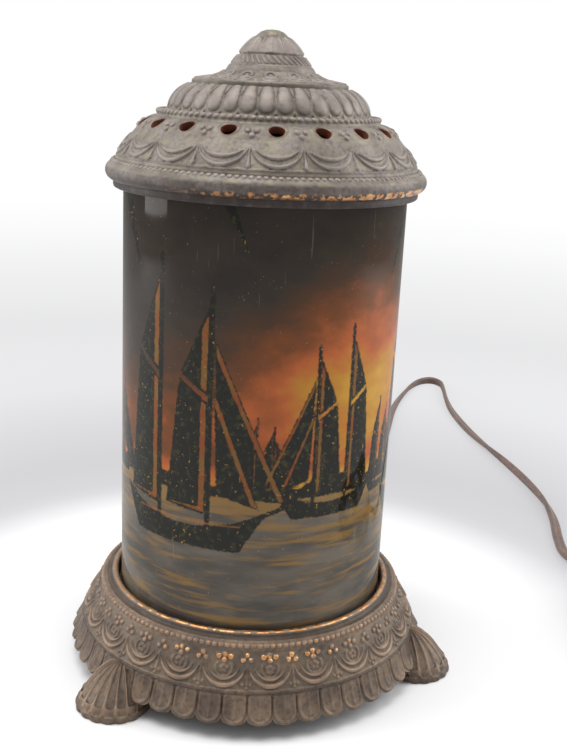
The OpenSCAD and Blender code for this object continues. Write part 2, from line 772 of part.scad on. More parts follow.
// The yoke: two legs, two quarter bends and the crown, one wire
module pivot_frame() {
  leg_h = yoke_z - yoke_bend - bar_z;
  color([0.6, 0.6, 0.58])
    union() {
      for (s = [-1, 1]) {
        translate([s * yoke_r, 0, bar_z])
          cylinder(d = wire_d, h = leg_h);
        translate([s * (yoke_r - yoke_bend), 0, yoke_z - yoke_bend])
          rotate([90, s > 0 ? 0 : -90, 0])
            rotate_extrude(angle = 90)
              translate([yoke_bend, 0])
                circle(d = wire_d, $fn = 32);
      }
      translate([yoke_bend - yoke_r, 0, yoke_z])
        rotate([0, 90, 0])
          cylinder(d = wire_d, h = 2 * (yoke_r - yoke_bend));
    }
}

module needle_holder() {
  color([0.76, 0.62, 0.34])
    difference() {
      translate([0, 0, holder_top - holder_ring_h])
        cylinder(d = holder_ring_d, h = holder_ring_h);
      translate([-holder_ring_d, 0, yoke_z])
        rotate([0, 90, 0])
          cylinder(r = wire_d / 2 + slip, h = 2 * holder_ring_d);
      translate([0, 0, needle_foot])
        cylinder(r = needle_d / 2 + 0.05, h = 3 + past);
    }
}

module pivot_needle() {
  point = 4;
  color([0.8, 0.8, 0.8])
    union() {
      translate([0, 0, needle_foot])
        cylinder(d = needle_d, h = tip_z - point - needle_foot);
      translate([0, 0, tip_z - point])
        cylinder(d1 = needle_d, d2 = 0.1, h = point);
    }
}

module bearing_cup() {
  cup_z = tip_z + 3.5 - cup_h;
  color([0.78, 0.64, 0.36])
    difference() {
      union() {
        translate([0, 0, cup_z])
          cylinder(r = cup_r, h = cup_h);
        translate([0, 0, vane_top])
          cylinder(r = cup_r + 2.4, h = 0.8);
      }
      translate([0, 0, cup_z - 0.01])
        cylinder(r1 = cup_r - 1, r2 = 0.3, h = tip_z + rest_gap - cup_z);
    }
}

// The vaned disc: hub, rim, and blades that tilt about their own radii
module spinner() {
  blade_in = hub_r - 1;
  blade_out = drum_r - vane_rim_w + 0.6;
  half = 180 / vane_count * 0.68;
  color([0.78, 0.79, 0.8])
    difference() {
      union() {
        translate([0, 0, disc_under])
          cylinder(r = hub_r, h = vane_t);
        difference() {
          translate([0, 0, disc_under])
            cylinder(r = drum_r + 0.4, h = vane_t);
          translate([0, 0, disc_under - past])
            cylinder(r = drum_r - vane_rim_w, h = vane_t + 2 * past);
        }
        intersection() {
          for (i = [0:vane_count - 1])
            rotate(i * 360 / vane_count)
              translate([0, 0, disc_under + vane_t / 2])
                rotate([vane_tilt, 0, 0])
                  linear_extrude(height = vane_t * 0.7, center = true)
                    polygon([[blade_in, -blade_in * tan(half)], [blade_out, -blade_out * tan(half)],
                      [blade_out, blade_out * tan(half)], [blade_in, blade_in * tan(half)]]);
          translate([0, 0, disc_under - drum_h / 2])
            cylinder(r = drum_r - drum_wall - rest_gap, h = drum_h);
        }
      }
      translate([0, 0, disc_under - past])
        cylinder(r = cup_r + slip, h = vane_t + 2 * past);
    }
}

module flame_drum() {
  color([0.85, 0.45, 0.2, 0.7])
    difference() {
      translate([0, 0, drum_z])
        cylinder(r = drum_r, h = drum_h, $fn = 96);
      translate([0, 0, drum_z - past])
        cylinder(r = drum_r - drum_wall, h = drum_h + 2 * past, $fn = 96);
    }
}

module glass_shade() {
  color([0.55, 0.35, 0.16, 0.8])
    difference() {
      translate([0, 0, glass_z])
        cylinder(r = glass_r, h = glass_h, $fn = 96);
      translate([0, 0, glass_z - past])
        cylinder(r = glass_r - glass_wall, h = glass_h + 2 * past, $fn = 96);
    }
}

// Cap: rim, slope, shoulder, dome, disc and finial in one line, and the hollow inside
module cap_profile() {
  outside = concat([[rim_in, rim_z], [rim_r - 0.6, rim_z], [rim_r, rim_z + 0.6], [rim_r, rim_z + rim_h - 1]],
    [slope_band[0]],
    bow([slope_r, slope_z], [ring_r + 1, ring_z], -0.6, 4),
    [[ring_r - 1, ring_z + 0.6]],
    bow(dome_band[0], dome_band[1], dome_band[2], 8),
    [[disc_r, disc_z - disc_t], [disc_r, disc_z - 0.6], [disc_r - 0.6, disc_z],
     [bud_foot_r, disc_z + 1.2]],
    [for (m = [[1, 0.13], [0.8, 0.26], [0.71, 0.44], [0.55, 0.66], [0.38, 0.81], [0.33, 0.9], [0.23, 0.96],
      [0.12, 0.99], [0, 1]]) [bud_r * m[0], disc_z + bud_h * m[1]]]);
  inside = [[0, disc_z + bud_h - 6], [bud_r * 0.45, disc_z + 5], [bud_foot_r, disc_z - cap_wall * 0.8],
    [disc_r - 1, disc_z - disc_t - cap_wall * 0.8], [dome_r - cap_wall * 1.6, ring_z + 4.5],
    [dome_r - cap_wall, ring_z - cap_wall * 0.6], [ring_r - 1, ring_z - cap_wall],
    [slope_r - cap_wall * 0.8, slope_z - cap_wall * 0.6],
    [rim_in - ledge_w + 0.5, ledge_z + ledge_t + 2.5], [rim_in - ledge_w, ledge_z + ledge_t],
    [rim_in - ledge_w, ledge_z], [rim_in, ledge_z]];
  polygon(concat(outside, inside));
}

module cap_casting() {
  color([0.4, 0.37, 0.34])
    difference() {
      union() {
        rotate_extrude()
          cap_profile();
        difference() {
          bar_of_circle(rim_bead_r, rim_bead_z, rim_bead_d);
          translate([0, 0, rim_z - past])
            cylinder(r = rim_in + 0.4, h = rim_h + slope_h);
        }
        bar_of_circle(ring_r, ring_z + 0.6, ring_d);
        for (i = [0:vent_count - 1], moon = cap_moons)
          crescent(slope_band, vent_turn + i * 360 / vent_count, moon[0], moon[1]);
        for (i = [0:gadroons - 1])
          gadroon(gadroon_turn + i * 360 / gadroons);
      }
      for (i = [0:vent_count - 1])
        rotate(vent_turn + i * 360 / vent_count - 90)
          translate([vent_r, 0, vent_z])
            rotate([0, vent_lean, 0])
              translate([0, 0, -cap_wall * 2.5])
                cylinder(d = vent_d, h = cap_wall * 4);
    }
}

// The strain relief: a plug in the casting's hole and a taper round the lead
module cord_sleeve() {
  color([0.2, 0.15, 0.12])
    rotate(exit_turn - 90)
      translate([0, 0, exit_h])
        rotate([0, 90, 0])
          difference() {
            rotate_extrude()
              polygon([[0, sleeve_in], [sleeve_d / 2, sleeve_in], [sleeve_d / 2, hem_r],
                [cord_w / 2 + 0.9, exit_r], [0, exit_r]]);
            translate([-flat - 0.05, -cord_w / 2 - 0.05, sleeve_in - past])
              cube([cord_t + 0.1, cord_w + 0.1, exit_r - sleeve_in - cord_w + past]);
          }
}

module inner_cord() {
  color([0.33, 0.24, 0.18])
    polyhedron(tube_rings(inner_line, cord_w - 0.4, cord_t - 0.2, 8), tube_faces(len(inner_line), 8));
}

module cord_run() {
  color([0.33, 0.25, 0.2])
    polyhedron(tube_rings(run_line, cord_w, cord_t, 8), tube_faces(len(run_line), 8));
}

module cord_coil() {
  color([0.33, 0.25, 0.2])
    polyhedron(tube_rings(wound_line, cord_w, cord_t, 6), tube_faces(len(wound_line), 6));
}

// The tie: a band round all the turns, where they run along X
module cord_tie() {
  r_in = coil_radius(coil_middle) - cord_w / 2 - 1;
  r_out = coil_r + cord_w / 2 + 1;
  top = coil_z + coil_layer + flat + 0.8;
  color([0.12, 0.12, 0.12])
    difference() {
      translate([coil_x - tie_w / 2, coil_y - r_out - tie_t, 0])
        cube([tie_w, r_out - r_in + 2 * tie_t, top + tie_t]);
      translate([coil_x - tie_w / 2 - past, coil_y - r_out, tie_t])
        cube([tie_w + 2 * past, r_out - r_in, top - tie_t]);
    }
}

// Outline of the switch, rounded towards the lead at both ends
function switch_half(y) = cord_w * 0.9 + (switch_w / 2 - cord_w * 0.9) * pow(cos(90 * y / switch_end), 0.45);
module switch_outline() {
  steps = 12;
  side = [for (i = [-steps + 1:steps - 1]) let (y = switch_end * i / steps) [switch_half(y), y]];
  ends = [[cord_w * 0.9, switch_end], [-cord_w * 0.9, switch_end]];
  polygon(concat(side, ends, [for (p = backwards(side)) [-p[0], p[1]]],
    [[-cord_w * 0.9, -switch_end], [cord_w * 0.9, -switch_end]]));
}

module switch_hollow() {
  translate([0, 0, switch_z - wheel_t / 2 - rest_gap])
    cylinder(d = wheel_d + 2 * rest_gap, h = wheel_t + 2 * rest_gap);
  translate([0, 0, -past])
    cylinder(d = switch_screw_d + 2 * slip, h = switch_t + 2 * past);
}

module switch_base() {
  color([0.2, 0.13, 0.09])
    translate([switch_x, switch_y, 0])
      difference() {
        linear_extrude(height = switch_z)
          switch_outline();
        switch_hollow();
      }
}

module switch_cover() {
  color([0.22, 0.14, 0.1])
    translate([switch_x, switch_y, 0])
      difference() {
        translate([0, 0, switch_z])
          linear_extrude(height = switch_z)
            switch_outline();
        switch_hollow();
        translate([0, 0, switch_t - 1.8])
          cylinder(d = switch_screw_d * 2 + 2 * slip, h = 1.8 + past);
      }
}

module switch_wheel() {
  color([0.85, 0.8, 0.68])
    translate([switch_x, switch_y, switch_z - wheel_t / 2])
      difference() {
        cylinder(d = wheel_d, h = wheel_t);
        translate([0, 0, -past])
          cylinder(d = switch_screw_d + 2 * slip, h = wheel_t + 2 * past);
      }
}

module switch_screw() {
  color([0.75, 0.73, 0.66])
    translate([switch_x, switch_y, 0])
      difference() {
        union() {
          translate([0, 0, 0.6])
            cylinder(d = switch_screw_d, h = switch_t - 1.8 - 0.6);
          translate([0, 0, switch_t - 1.8])
            cylinder(d = switch_screw_d * 2, h = 1.4);
        }
        translate([-switch_screw_d * 1.5, -0.4, switch_t - 1])
          cube([switch_screw_d * 3, 0.8, 1]);
      }
}

module plug_body() {
  color([0.2, 0.14, 0.1])
    translate([plug_x, plug_y, plug_r])
      rotate([-90, 0, 0])
        difference() {
          rotate_extrude()
            polygon([[0, 0], [cord_w / 2 + 1.5, 0], [cord_w / 2 + 2.5, plug_len * 0.2],
              [plug_r - 1.5, plug_len * 0.5],
              [plug_r - 1.5, plug_len * 0.72], [plug_r, plug_len * 0.8], [plug_r, plug_len - 0.8],
              [plug_r - 0.8, plug_len], [0, plug_len]]);
          for (s = [-1, 1])
            translate([s * blade_gap / 2 - blade_t / 2, -blade_w / 2, plug_len * 0.5])
              cube([blade_t, blade_w, plug_len]);
        }
}

module plug_blades() {
  color([0.8, 0.68, 0.4])
    for (s = [-1, 1])
      translate([plug_x + s * blade_gap / 2, plug_y, plug_r])
        difference() {
          translate([-blade_t / 2, plug_len * 0.5, -blade_w / 2])
            cube([blade_t, plug_len * 0.5 + blade_len, blade_w]);
          translate([-blade_t, plug_len + blade_len - 4, 0])
            rotate([0, 90, 0])
              cylinder(d = 3, h = 2 * blade_t);
        }
}

base_casting();
crossbar();
bar_screws();
nipple();
locknut();
nipple_bushing();
socket_cap();
socket_shell();
socket_liner();
socket_body();
terminal_screws();
screw_shell();
centre_contact();
bulb_base();
bulb_glass();
bulb_stem();
bulb_filament();
pivot_frame();
needle_holder();
pivot_needle();
bearing_cup();
spinner();
flame_drum();
glass_shade();
cap_casting();
cord_sleeve();
inner_cord();
cord_run();
cord_coil();
cord_tie();
switch_base();
switch_cover();
switch_wheel();
switch_screw();
plug_body();
plug_blades();
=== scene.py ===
"""Rotating motion lamp: its looks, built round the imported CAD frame.

Surfaces are worked out with numpy in millimetres and put into Blender in metres. The
lamp's axis is +Z, its front looks towards -Y, and a "turn" is the direction of a point
from the front, in degrees towards +X.
"""

import logging
import math
from dataclasses import dataclass, field
from enum import Enum
from typing import Callable, Sequence, Union

import bmesh
import bpy
import numpy as np
from mathutils import Matrix, Vector


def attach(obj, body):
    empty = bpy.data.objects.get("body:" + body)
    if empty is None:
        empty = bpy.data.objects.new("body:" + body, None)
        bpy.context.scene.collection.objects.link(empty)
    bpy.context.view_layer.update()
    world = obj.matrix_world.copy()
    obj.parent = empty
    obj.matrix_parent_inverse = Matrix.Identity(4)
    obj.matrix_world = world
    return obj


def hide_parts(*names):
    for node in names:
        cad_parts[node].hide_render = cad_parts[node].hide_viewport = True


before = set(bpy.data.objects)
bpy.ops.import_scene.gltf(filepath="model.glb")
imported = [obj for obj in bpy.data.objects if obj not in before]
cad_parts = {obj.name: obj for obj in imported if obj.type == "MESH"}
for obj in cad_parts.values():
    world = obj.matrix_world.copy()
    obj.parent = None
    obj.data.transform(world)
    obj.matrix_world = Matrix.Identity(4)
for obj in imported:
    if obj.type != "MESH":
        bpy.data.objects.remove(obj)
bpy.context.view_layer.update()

Array = np.ndarray
Socket = bpy.types.NodeSocket
MM = 0.001
PHOTO_W, PHOTO_H = 567, 756

logging.basicConfig(level=logging.INFO, format="%(levelname)s %(message)s")
log = logging.getLogger("motion_lamp")


# ---------------------------------------------------------------- surfaces


@dataclass
class Shape:
    """A closed surface as arrays, in millimetres."""

    points: Array
    faces: list[Array]
    uvs: list[Array]
    layers: dict[str, Array] = field(default_factory=dict)

    def moved(self, offset: Sequence[float]) -> "Shape":
        """The same shape, shifted by offset."""
        return Shape(self.points + np.asarray(offset, float), self.faces, self.uvs, self.layers)

    def turned(self, matrix: Array) -> "Shape":
        """The same shape, turned by a 3 x 3 matrix."""
        return Shape(self.points @ np.asarray(matrix, float).T, self.faces, self.uvs, self.layers)


def join(shapes: Sequence[Shape]) -> Shape:
    """Puts several closed surfaces into one.

    Args:
        shapes: The surfaces. A layer that one of them lacks is 0 there.

    Returns:
        One shape that holds them all.
    """
    starts = np.cumsum([0] + [len(s.points) for s in shapes])
    names = sorted({n for s in shapes for n in s.layers})
    return Shape(
        np.concatenate([s.points for s in shapes]),
        [f + start for s, start in zip(shapes, starts) for f in s.faces],
        [u for s in shapes for u in s.uvs],
        {n: np.concatenate([s.layers.get(n, np.zeros(len(s.points))) for s in shapes]) for n in names},
    )


def skin(rings: Array, closed: bool = False, layers: dict[str, Array] | None = None) -> Shape:
    """A surface over rings of points: quads between neighbouring rings.

    Args:
        rings: Points, one row for each ring.
        closed: True joins the last ring to the first; otherwise both ends get a fan of
            triangles round the middle of their ring.
        layers: Values for each point, one row for each ring.

    Returns:
        The closed surface. Its UV map has u round a ring and v along the rings.
    """
    rows, around = rings.shape[:2]
    spans = rows if closed else rows - 1
    i, j = np.arange(spans)[:, None], np.arange(around)[None, :]
    i2, j2 = (i + 1) % rows, (j + 1) % around
    quads = np.stack([i * around + j, i * around + j2, i2 * around + j2, i2 * around + j], -1)
    low, high = np.broadcast_arrays(j / around, i / spans)
    one_u, one_v = 1 / around, 1 / spans
    uv = np.stack(
        [
            np.stack([low, high], -1),
            np.stack([low + one_u, high], -1),
            np.stack([low + one_u, high + one_v], -1),
            np.stack([low, high + one_v], -1),
        ],
        2,
    )
    points = rings.reshape(-1, 3)
    faces, uvs = [quads.reshape(-1, 4)], [uv.reshape(-1, 4, 2)]
    flat = {n: np.broadcast_to(a, (rows, around)).reshape(-1) for n, a in (layers or {}).items()}
    if not closed:
        ends = np.stack([rings[0].mean(0), rings[-1].mean(0)])
        k = np.arange(around)
        first = np.stack([(k + 1) % around, k, np.full(around, len(points))], -1)
        last = (rows - 1) * around
        second = np.stack([last + k, last + (k + 1) % around, np.full(around, len(points) + 1)], -1)
        faces += [first, second]
        for v in (0.0, 1.0):
            rim = np.stack([k / around, np.full(around, v)], -1)
            nxt = np.stack([(k + 1) / around, np.full(around, v)], -1)
            uvs.append(np.stack([nxt, rim, rim] if v == 0 else [rim, nxt, rim], 1))
        flat = {n: np.concatenate([a, [a[:around].mean(), a[-around:].mean()]]) for n, a in flat.items()}
        points = np.concatenate([points, ends])
    return Shape(points, faces, uvs, flat)


def around_axis(radius: Array, height: Array, turns: Array) -> Array:
    """Points at distances from the axis and heights, in directions from the front.

    Returns:
        x = r sin(turn), y = -r cos(turn), z, for arrays that broadcast together.
    """
    radius, height, turns = np.broadcast_arrays(radius, height, np.radians(turns))
    return np.stack([radius * np.sin(turns), -radius * np.cos(turns), height], -1)


def every(count: int) -> Array:
    """Directions of count equal steps round the axis, in degrees."""
    return np.arange(count) * 360.0 / count


def bow(start: Sequence[float], end: Sequence[float], bulge: float, steps: int) -> list[Array]:
    """Points from start to end on a parabola that stands off the chord by bulge.

    Returns:
        steps + 1 points; the bulge is towards the left of the way from start to end.
    """
    p, q = np.asarray(start, float), np.asarray(end, float)
    d = q - p
    out = np.array([-d[1], d[0]]) / np.linalg.norm(d)
    return [p + d * t + out * bulge * 4 * t * (1 - t) for t in np.linspace(0, 1, steps + 1)]


def arc(centre: Sequence[float], radius: float, first: float, last: float, steps: int) -> list[Array]:
    """Points on an arc of a circle, from the angle first to last, in degrees."""
    a = np.radians(np.linspace(first, last, steps + 1))
    return list(np.asarray(centre, float) + radius * np.stack([np.cos(a), np.sin(a)], -1))


def resample(outline: Sequence[Sequence[float]], step: float) -> Array:
    """Evenly spaced points on an outline, about step apart, its ends kept."""
    p = np.asarray(outline, float)
    along = lengths(p)
    want = np.linspace(0, along[-1], max(2, int(round(along[-1] / step)) + 1))
    return np.stack([np.interp(want, along, p[:, k]) for k in range(p.shape[1])], -1)


def lengths(points: Array) -> Array:
    """Distance of each point from the first, along the line through them."""
    return np.concatenate([[0], np.cumsum(np.linalg.norm(np.diff(points, axis=0), axis=1))])


def outward(profile: Array) -> Array:
    """Unit normals of a profile that runs down and outwards: its tangent, a quarter turned."""
    d = np.gradient(profile, axis=0)
    d[1:-1] = (d[:-2] + 2 * d[1:-1] + d[2:]) / 4
    n = np.stack([-d[:, 1], d[:, 0]], -1)
    return n / np.linalg.norm(n, axis=1, keepdims=True)


def smooth_curve(points: Sequence[Sequence[float]], steps: int) -> Array:
    """A Catmull-Rom curve through points.

    Between b and c, with a before and d after: half of 2b + (c - a)t +
    (2a - 5b + 4c - d)t^2 + (3b - a - 3c + d)t^3.

    Returns:
        steps points for each stretch, and the last point.
    """
    p = np.asarray(points, float)
    a, b, c, d = (p[np.clip(np.arange(len(p) - 1) + k, 0, len(p) - 1)][:, None] for k in (-1, 0, 1, 2))
    t = (np.arange(steps) / steps)[None, :, None]
    line = (2 * b + (c - a) * t + (2 * a - 5 * b + 4 * c - d) * t**2 + (3 * b - a - 3 * c + d) * t**3) / 2
    return np.concatenate([line.reshape(-1, p.shape[1]), p[-1:]])


def ease(t: Array) -> Array:
    """A number that rises smoothly from 0 at t = 0 to 1 at t = 1."""
    c = np.clip(t, 0, 1)
    return c * c * (3 - 2 * c)


def zigzag(t: Array) -> Array:
    """A line with sharp corners between -1 and 1, once up and down for each unit of t."""
    return 4 * np.abs(t - np.floor(t + 0.5)) - 1


# ---------------------------------------------------------------- relief patterns


def in_sector(turns: Array, count: int, first: float) -> Array:
    """Degrees from the middle of the nearest of count equal sectors, the first at first."""
    pitch = 360 / count
    return (turns - first + pitch / 2) % pitch - pitch / 2


def bead(x: Array, y: Array, cx: float, cy: float, r: float) -> Array:
    """A round bead of radius r at (cx, cy): 1 on its top, 0 from its edge outwards."""
    return np.sqrt(np.clip(1 - ((x - cx) ** 2 + (y - cy) ** 2) / r**2, 0, 1))


def crescent(x: Array, y: Array, low: tuple[float, float], high: tuple[float, float]) -> Array:
    """A moon with its horns up: inside one circle and outside a second above it.

    Args:
        x, y: Places on the surface, in millimetres.
        low: Height of the first circle's middle, and its radius.
        high: The same of the second circle.

    Returns:
        A round section: 1 in the middle of the moon's thickest part, 0 from its edge out.
    """
    inside = low[1] - np.hypot(x, y - low[0])
    outside = np.hypot(x, y - high[0]) - high[1]
    half = ((high[0] - high[1]) - (low[0] - low[1])) / 2
    m = np.clip(np.minimum(inside, outside) / half, 0, 1)
    return np.sqrt(1 - (1 - m) ** 2)


def drop(x: Array, y: Array, top: float, bottom: float, r_top: float, r_bottom: float) -> Array:
    """A hanging drop on the line x = 0: a stroke whose radius grows from top to bottom."""
    t = np.clip((top - y) / (top - bottom), 0, 1)
    r = r_top + (r_bottom - r_top) * t**1.5
    d = np.hypot(x, y - (top + (bottom - top) * t))
    return np.sqrt(np.clip(1 - (d / r) ** 2, 0, 1)) * r / r_bottom


def ridge(d: Array, half: float) -> Array:
    """A round ridge of half width half, over the distance d from its middle."""
    return np.sqrt(np.clip(1 - (d / half) ** 2, 0, 1))


# ---------------------------------------------------------------- pieces


class Body(Enum):
    """The lamp's bodies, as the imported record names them."""

    STAND = "stand"
    SHADE = "shade"
    CAP = "cap"
    ROTOR = "rotor"
    WHEEL = "wheel"


def signed_volume(shape: Shape) -> float:
    """Sum of the tetrahedra between the origin and each triangle: above 0 if faces point out."""
    total = 0.0
    for f in shape.faces:
        for k in range(1, f.shape[1] - 1):
            a, b, c = (shape.points[f[:, n]] for n in (0, k, k + 1))
            total += float(np.einsum("ij,ij->", a, np.cross(b, c)))
    return total / 6


def placed(name: str, data: bpy.types.ID) -> bpy.types.Object:
    """A new object that holds data, linked to the scene."""
    obj = bpy.data.objects.new(name, data)
    bpy.context.scene.collection.objects.link(obj)
    return obj


def to_object(name: str, shape: Shape, sharp: float) -> bpy.types.Object:
    """Makes a Blender object of a shape, its faces pointing out.

    Args:
        name: Name of the object and its mesh.
        shape: The closed surface, in millimetres.
        sharp: Edges bent by more than this many degrees stay crisp.

    Returns:
        The object, at the origin, linked to the scene.
    """
    flip = signed_volume(shape) < 0
    faces = [f[:, ::-1] if flip else f for f in shape.faces]
    uvs = [u[:, ::-1] if flip else u for u in shape.uvs]
    sizes = np.concatenate([np.full(len(f), f.shape[1]) for f in faces])
    corners = np.concatenate([f.reshape(-1) for f in faces]).astype(np.int32)
    starts = (np.cumsum(sizes) - sizes).astype(np.int32)
    mesh = bpy.data.meshes.new(name)
    mesh.vertices.add(len(shape.points))
    mesh.vertices.foreach_set("co", (shape.points * MM).astype(np.float32).reshape(-1))
    mesh.loops.add(len(corners))
    mesh.loops.foreach_set("vertex_index", corners)
    mesh.polygons.add(len(sizes))
    mesh.polygons.foreach_set("loop_start", starts)
    mesh.update(calc_edges=True)
    mesh.polygons.foreach_set("use_smooth", np.ones(len(sizes), bool))
    uv = mesh.uv_layers.new(name="UVMap")
    uv.data.foreach_set(
        "uv", np.concatenate([u.reshape(-1, 2) for u in uvs]).astype(np.float32).reshape(-1)
    )
    for layer, values in shape.layers.items():
        mesh.attributes.new(layer, "FLOAT", "POINT").data.foreach_set("value", values.astype(np.float32))
    mesh.set_sharp_from_angle(angle=math.radians(sharp))
    return placed(name, mesh)


def mount(
    obj: bpy.types.Object, body: Body, material: bpy.types.Material, stands_for: Sequence[str]
) -> bpy.types.Object:
    """Gives a finished piece its body, material and CAD nodes, and reports it.

    Args:
        obj: The piece, in place.
        body: The body that it rides on.
        material: Its finish.
        stands_for: The CAD nodes that it replaces.

    Returns:
        The piece.
    """
    obj.data.materials.clear()
    obj.data.materials.append(material)
    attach(obj, body.value)
    if stands_for:
        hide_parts(*stands_for)
    log.info("%s: %d faces on %s", obj.name, len(obj.data.polygons), body.value)
    return obj


def add_piece(
    name: str,
    shape: Shape,
    body: Body,
    material: bpy.types.Material,
    stands_for: Sequence[str],
    sharp: float = 40.0,
) -> bpy.types.Object:
    """Makes a shape into a piece that rides on a body; see to_object and mount."""
    return mount(to_object(name, shape, sharp), body, material, stands_for)


def softened(
    name: str,
    node: str,
    body: Body,
    material: bpy.types.Material,
    edge: float,
    segments: int = 2,
) -> bpy.types.Object:
    """A copy of a CAD node with its corners broken by a small round edge.

    The CAD mesh is loose triangles, so the copy is merged and its flat faces joined
    before the Bevel modifier finds its edges.

    Args:
        name: Name of the new piece.
        node: The CAD node that it copies and replaces.
        body: The body that it rides on.
        material: Its finish.
        edge: Radius of the broken edges, in millimetres.
        segments: Faces across an edge.

    Returns:
        The piece.
    """
    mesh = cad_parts[node].data.copy()
    mesh.name = name
    work = bmesh.new()
    work.from_mesh(mesh)
    bmesh.ops.remove_doubles(work, verts=work.verts, dist=0.002 * MM)
    bmesh.ops.dissolve_limit(work, angle_limit=math.radians(0.5), verts=work.verts, edges=work.edges)
    bmesh.ops.recalc_face_normals(work, faces=work.faces)
    work.to_mesh(mesh)
    work.free()
    mesh.polygons.foreach_set("use_smooth", np.ones(len(mesh.polygons), bool))
    mesh.set_sharp_from_angle(angle=math.radians(35))
    obj = placed(name, mesh)
    round_over = obj.modifiers.new("edges", "BEVEL")
    round_over.width = edge * MM
    round_over.segments = segments
    round_over.limit_method = "ANGLE"
    round_over.angle_limit = math.radians(35)
    round_over.harden_normals = False
    return mount(obj, body, material, [node])


# ---------------------------------------------------------------- materials


def srgb(code: str) -> tuple[float, float, float, float]:
    """A hex colour, turned from sRGB to linear light."""
    values = [int(code.lstrip("#")[k : k + 2], 16) / 255 for k in (0, 2, 4)]
    linear = [v / 12.92 if v <= 0.04045 else ((v + 0.055) / 1.055) ** 2.4 for v in values]
    return (*linear, 1.0)


Value = Union[float, Sequence[float], Socket]


def add_node(
    tree: bpy.types.NodeTree,
    kind: str,
    inputs: dict[Union[int, str], Value] | None = None,
    **settings: object,
) -> bpy.types.Node:
    """Adds a node, its settings, its plain inputs and its links.

    Args:
        tree: The tree that gets the node.
        kind: The node's type.
        inputs: Value or linked socket for each named or numbered input.
        settings: The node's own properties; "stops" are a ramp's places and hex colours.

    Returns:
        The node.
    """
    node = tree.nodes.new(kind)
    for key, value in settings.items():
        if key == "stops":
            ramp = node.color_ramp
            while len(ramp.elements) > 1:
                ramp.elements.remove(ramp.elements[-1])
            ramp.elements[0].position, ramp.elements[0].color = value[0][0], srgb(value[0][1])
            for place, code in value[1:]:
                ramp.elements.new(place).color = srgb(code)
        else:
            setattr(node, key, value)
    for key, value in (inputs or {}).items():
        if isinstance(value, Socket):
            tree.links.new(value, node.inputs[key])
        else:
            node.inputs[key].default_value = value
    return node


@dataclass
class Paint:
    """A material being mixed: its tree, its Principled shader and its coordinates."""

    name: str
    tree: bpy.types.NodeTree = field(init=False)
    material: bpy.types.Material = field(init=False)
    shader: bpy.types.Node = field(init=False)
    place: Socket = field(init=False)
    uv: Socket = field(init=False)

    def __post_init__(self) -> None:
        """Starts an empty tree with the shader, the output and the coordinates."""
        self.material = bpy.data.materials.new(self.name)
        self.material.use_nodes = True
        self.tree = self.material.node_tree
        self.tree.nodes.clear()
        self.shader = add_node(self.tree, "ShaderNodeBsdfPrincipled")
        add_node(self.tree, "ShaderNodeOutputMaterial", {"Surface": self.shader.outputs["BSDF"]})
        coordinates = add_node(self.tree, "ShaderNodeTexCoord")
        self.place, self.uv = coordinates.outputs["Object"], coordinates.outputs["UV"]

    def node(
        self, kind: str, inputs: dict[Union[int, str], Value] | None = None, **settings: object
    ) -> bpy.types.Node:
        """Adds a node to this material; see add_node."""
        return add_node(self.tree, kind, inputs, **settings)

    def set(self, **values: Value) -> None:
        """Sets or links the shader's sockets, named with _ for a space."""
        for key, value in values.items():
            socket = self.shader.inputs[key.replace("_", " ")]
            if isinstance(value, Socket):
                self.tree.links.new(value, socket)
            else:
                socket.default_value = value

    def grain(
        self, size: float, detail: float = 3.0, stretch: Sequence[float] = (1, 1, 1),
        source: Socket | None = None,
    ) -> Socket:
        """Noise whose blotches are about size millimetres across, stretched along an axis."""
        at = self.node(
            "ShaderNodeMapping", {
                "Vector": source or self.place, "Scale": [1 / s for s in stretch]
            }, vector_type="POINT"
        )
        noise = self.node(
            "ShaderNodeTexNoise", {
                "Vector": at.outputs[0], "Scale": 1 / (size * MM), "Detail": detail, "Roughness": 0.55
            }
        )
        return noise.outputs[0]

    def stirred(
        self, value: Value, depth: float, size: float, detail: float, stretch: Sequence[float] = (1, 1, 1)
    ) -> Socket:
        """A value with grain laid over it, which moves it by up to half of depth either way."""
        noise = self.sum("SUBTRACT", self.grain(size, detail, stretch), 0.5)
        return self.sum("ADD", value, self.sum("MULTIPLY", noise, depth))

    def layer(self, name: str) -> Socket:
        """The values that a piece's own attribute holds."""
        return self.node("ShaderNodeAttribute", attribute_name=name).outputs["Fac"]

    def level(
        self, value: Socket, low: float, high: float, to_low: float = 0.0, to_high: float = 1.0
    ) -> Socket:
        """A value moved from one range to another, smoothly and clamped."""
        node = self.node(
            "ShaderNodeMapRange",
            {"Value": value, "From Min": low, "From Max": high, "To Min": to_low, "To Max": to_high},
            interpolation_type="SMOOTHSTEP",
        )
        return node.outputs[0]

    def sum(self, operation: str, a: Value, b: Value) -> Socket:
        """One arithmetic step on two values."""
        return self.node("ShaderNodeMath", {0: a, 1: b}, operation=operation).outputs[0]

    def mix(self, share: Value, a: Value, b: Value, blend: str = "MIX") -> Socket:
        """Colour a, and colour b over it by share."""
        node = self.node("ShaderNodeMix", {0: share, 6: a, 7: b}, data_type="RGBA", blend_type=blend)
        return node.outputs[2]

    def bump(self, height: Socket, depth: float, under: Socket | None = None) -> Socket:
        """A normal from a height of 0 to 1, depth millimetres deep."""
        inputs: dict[Union[int, str], Value] = {"Height": height, "Distance": depth * MM, "Strength": 1.0}
        if under is not None:
            inputs["Normal"] = under
        return self.node("ShaderNodeBump", inputs).outputs[0]


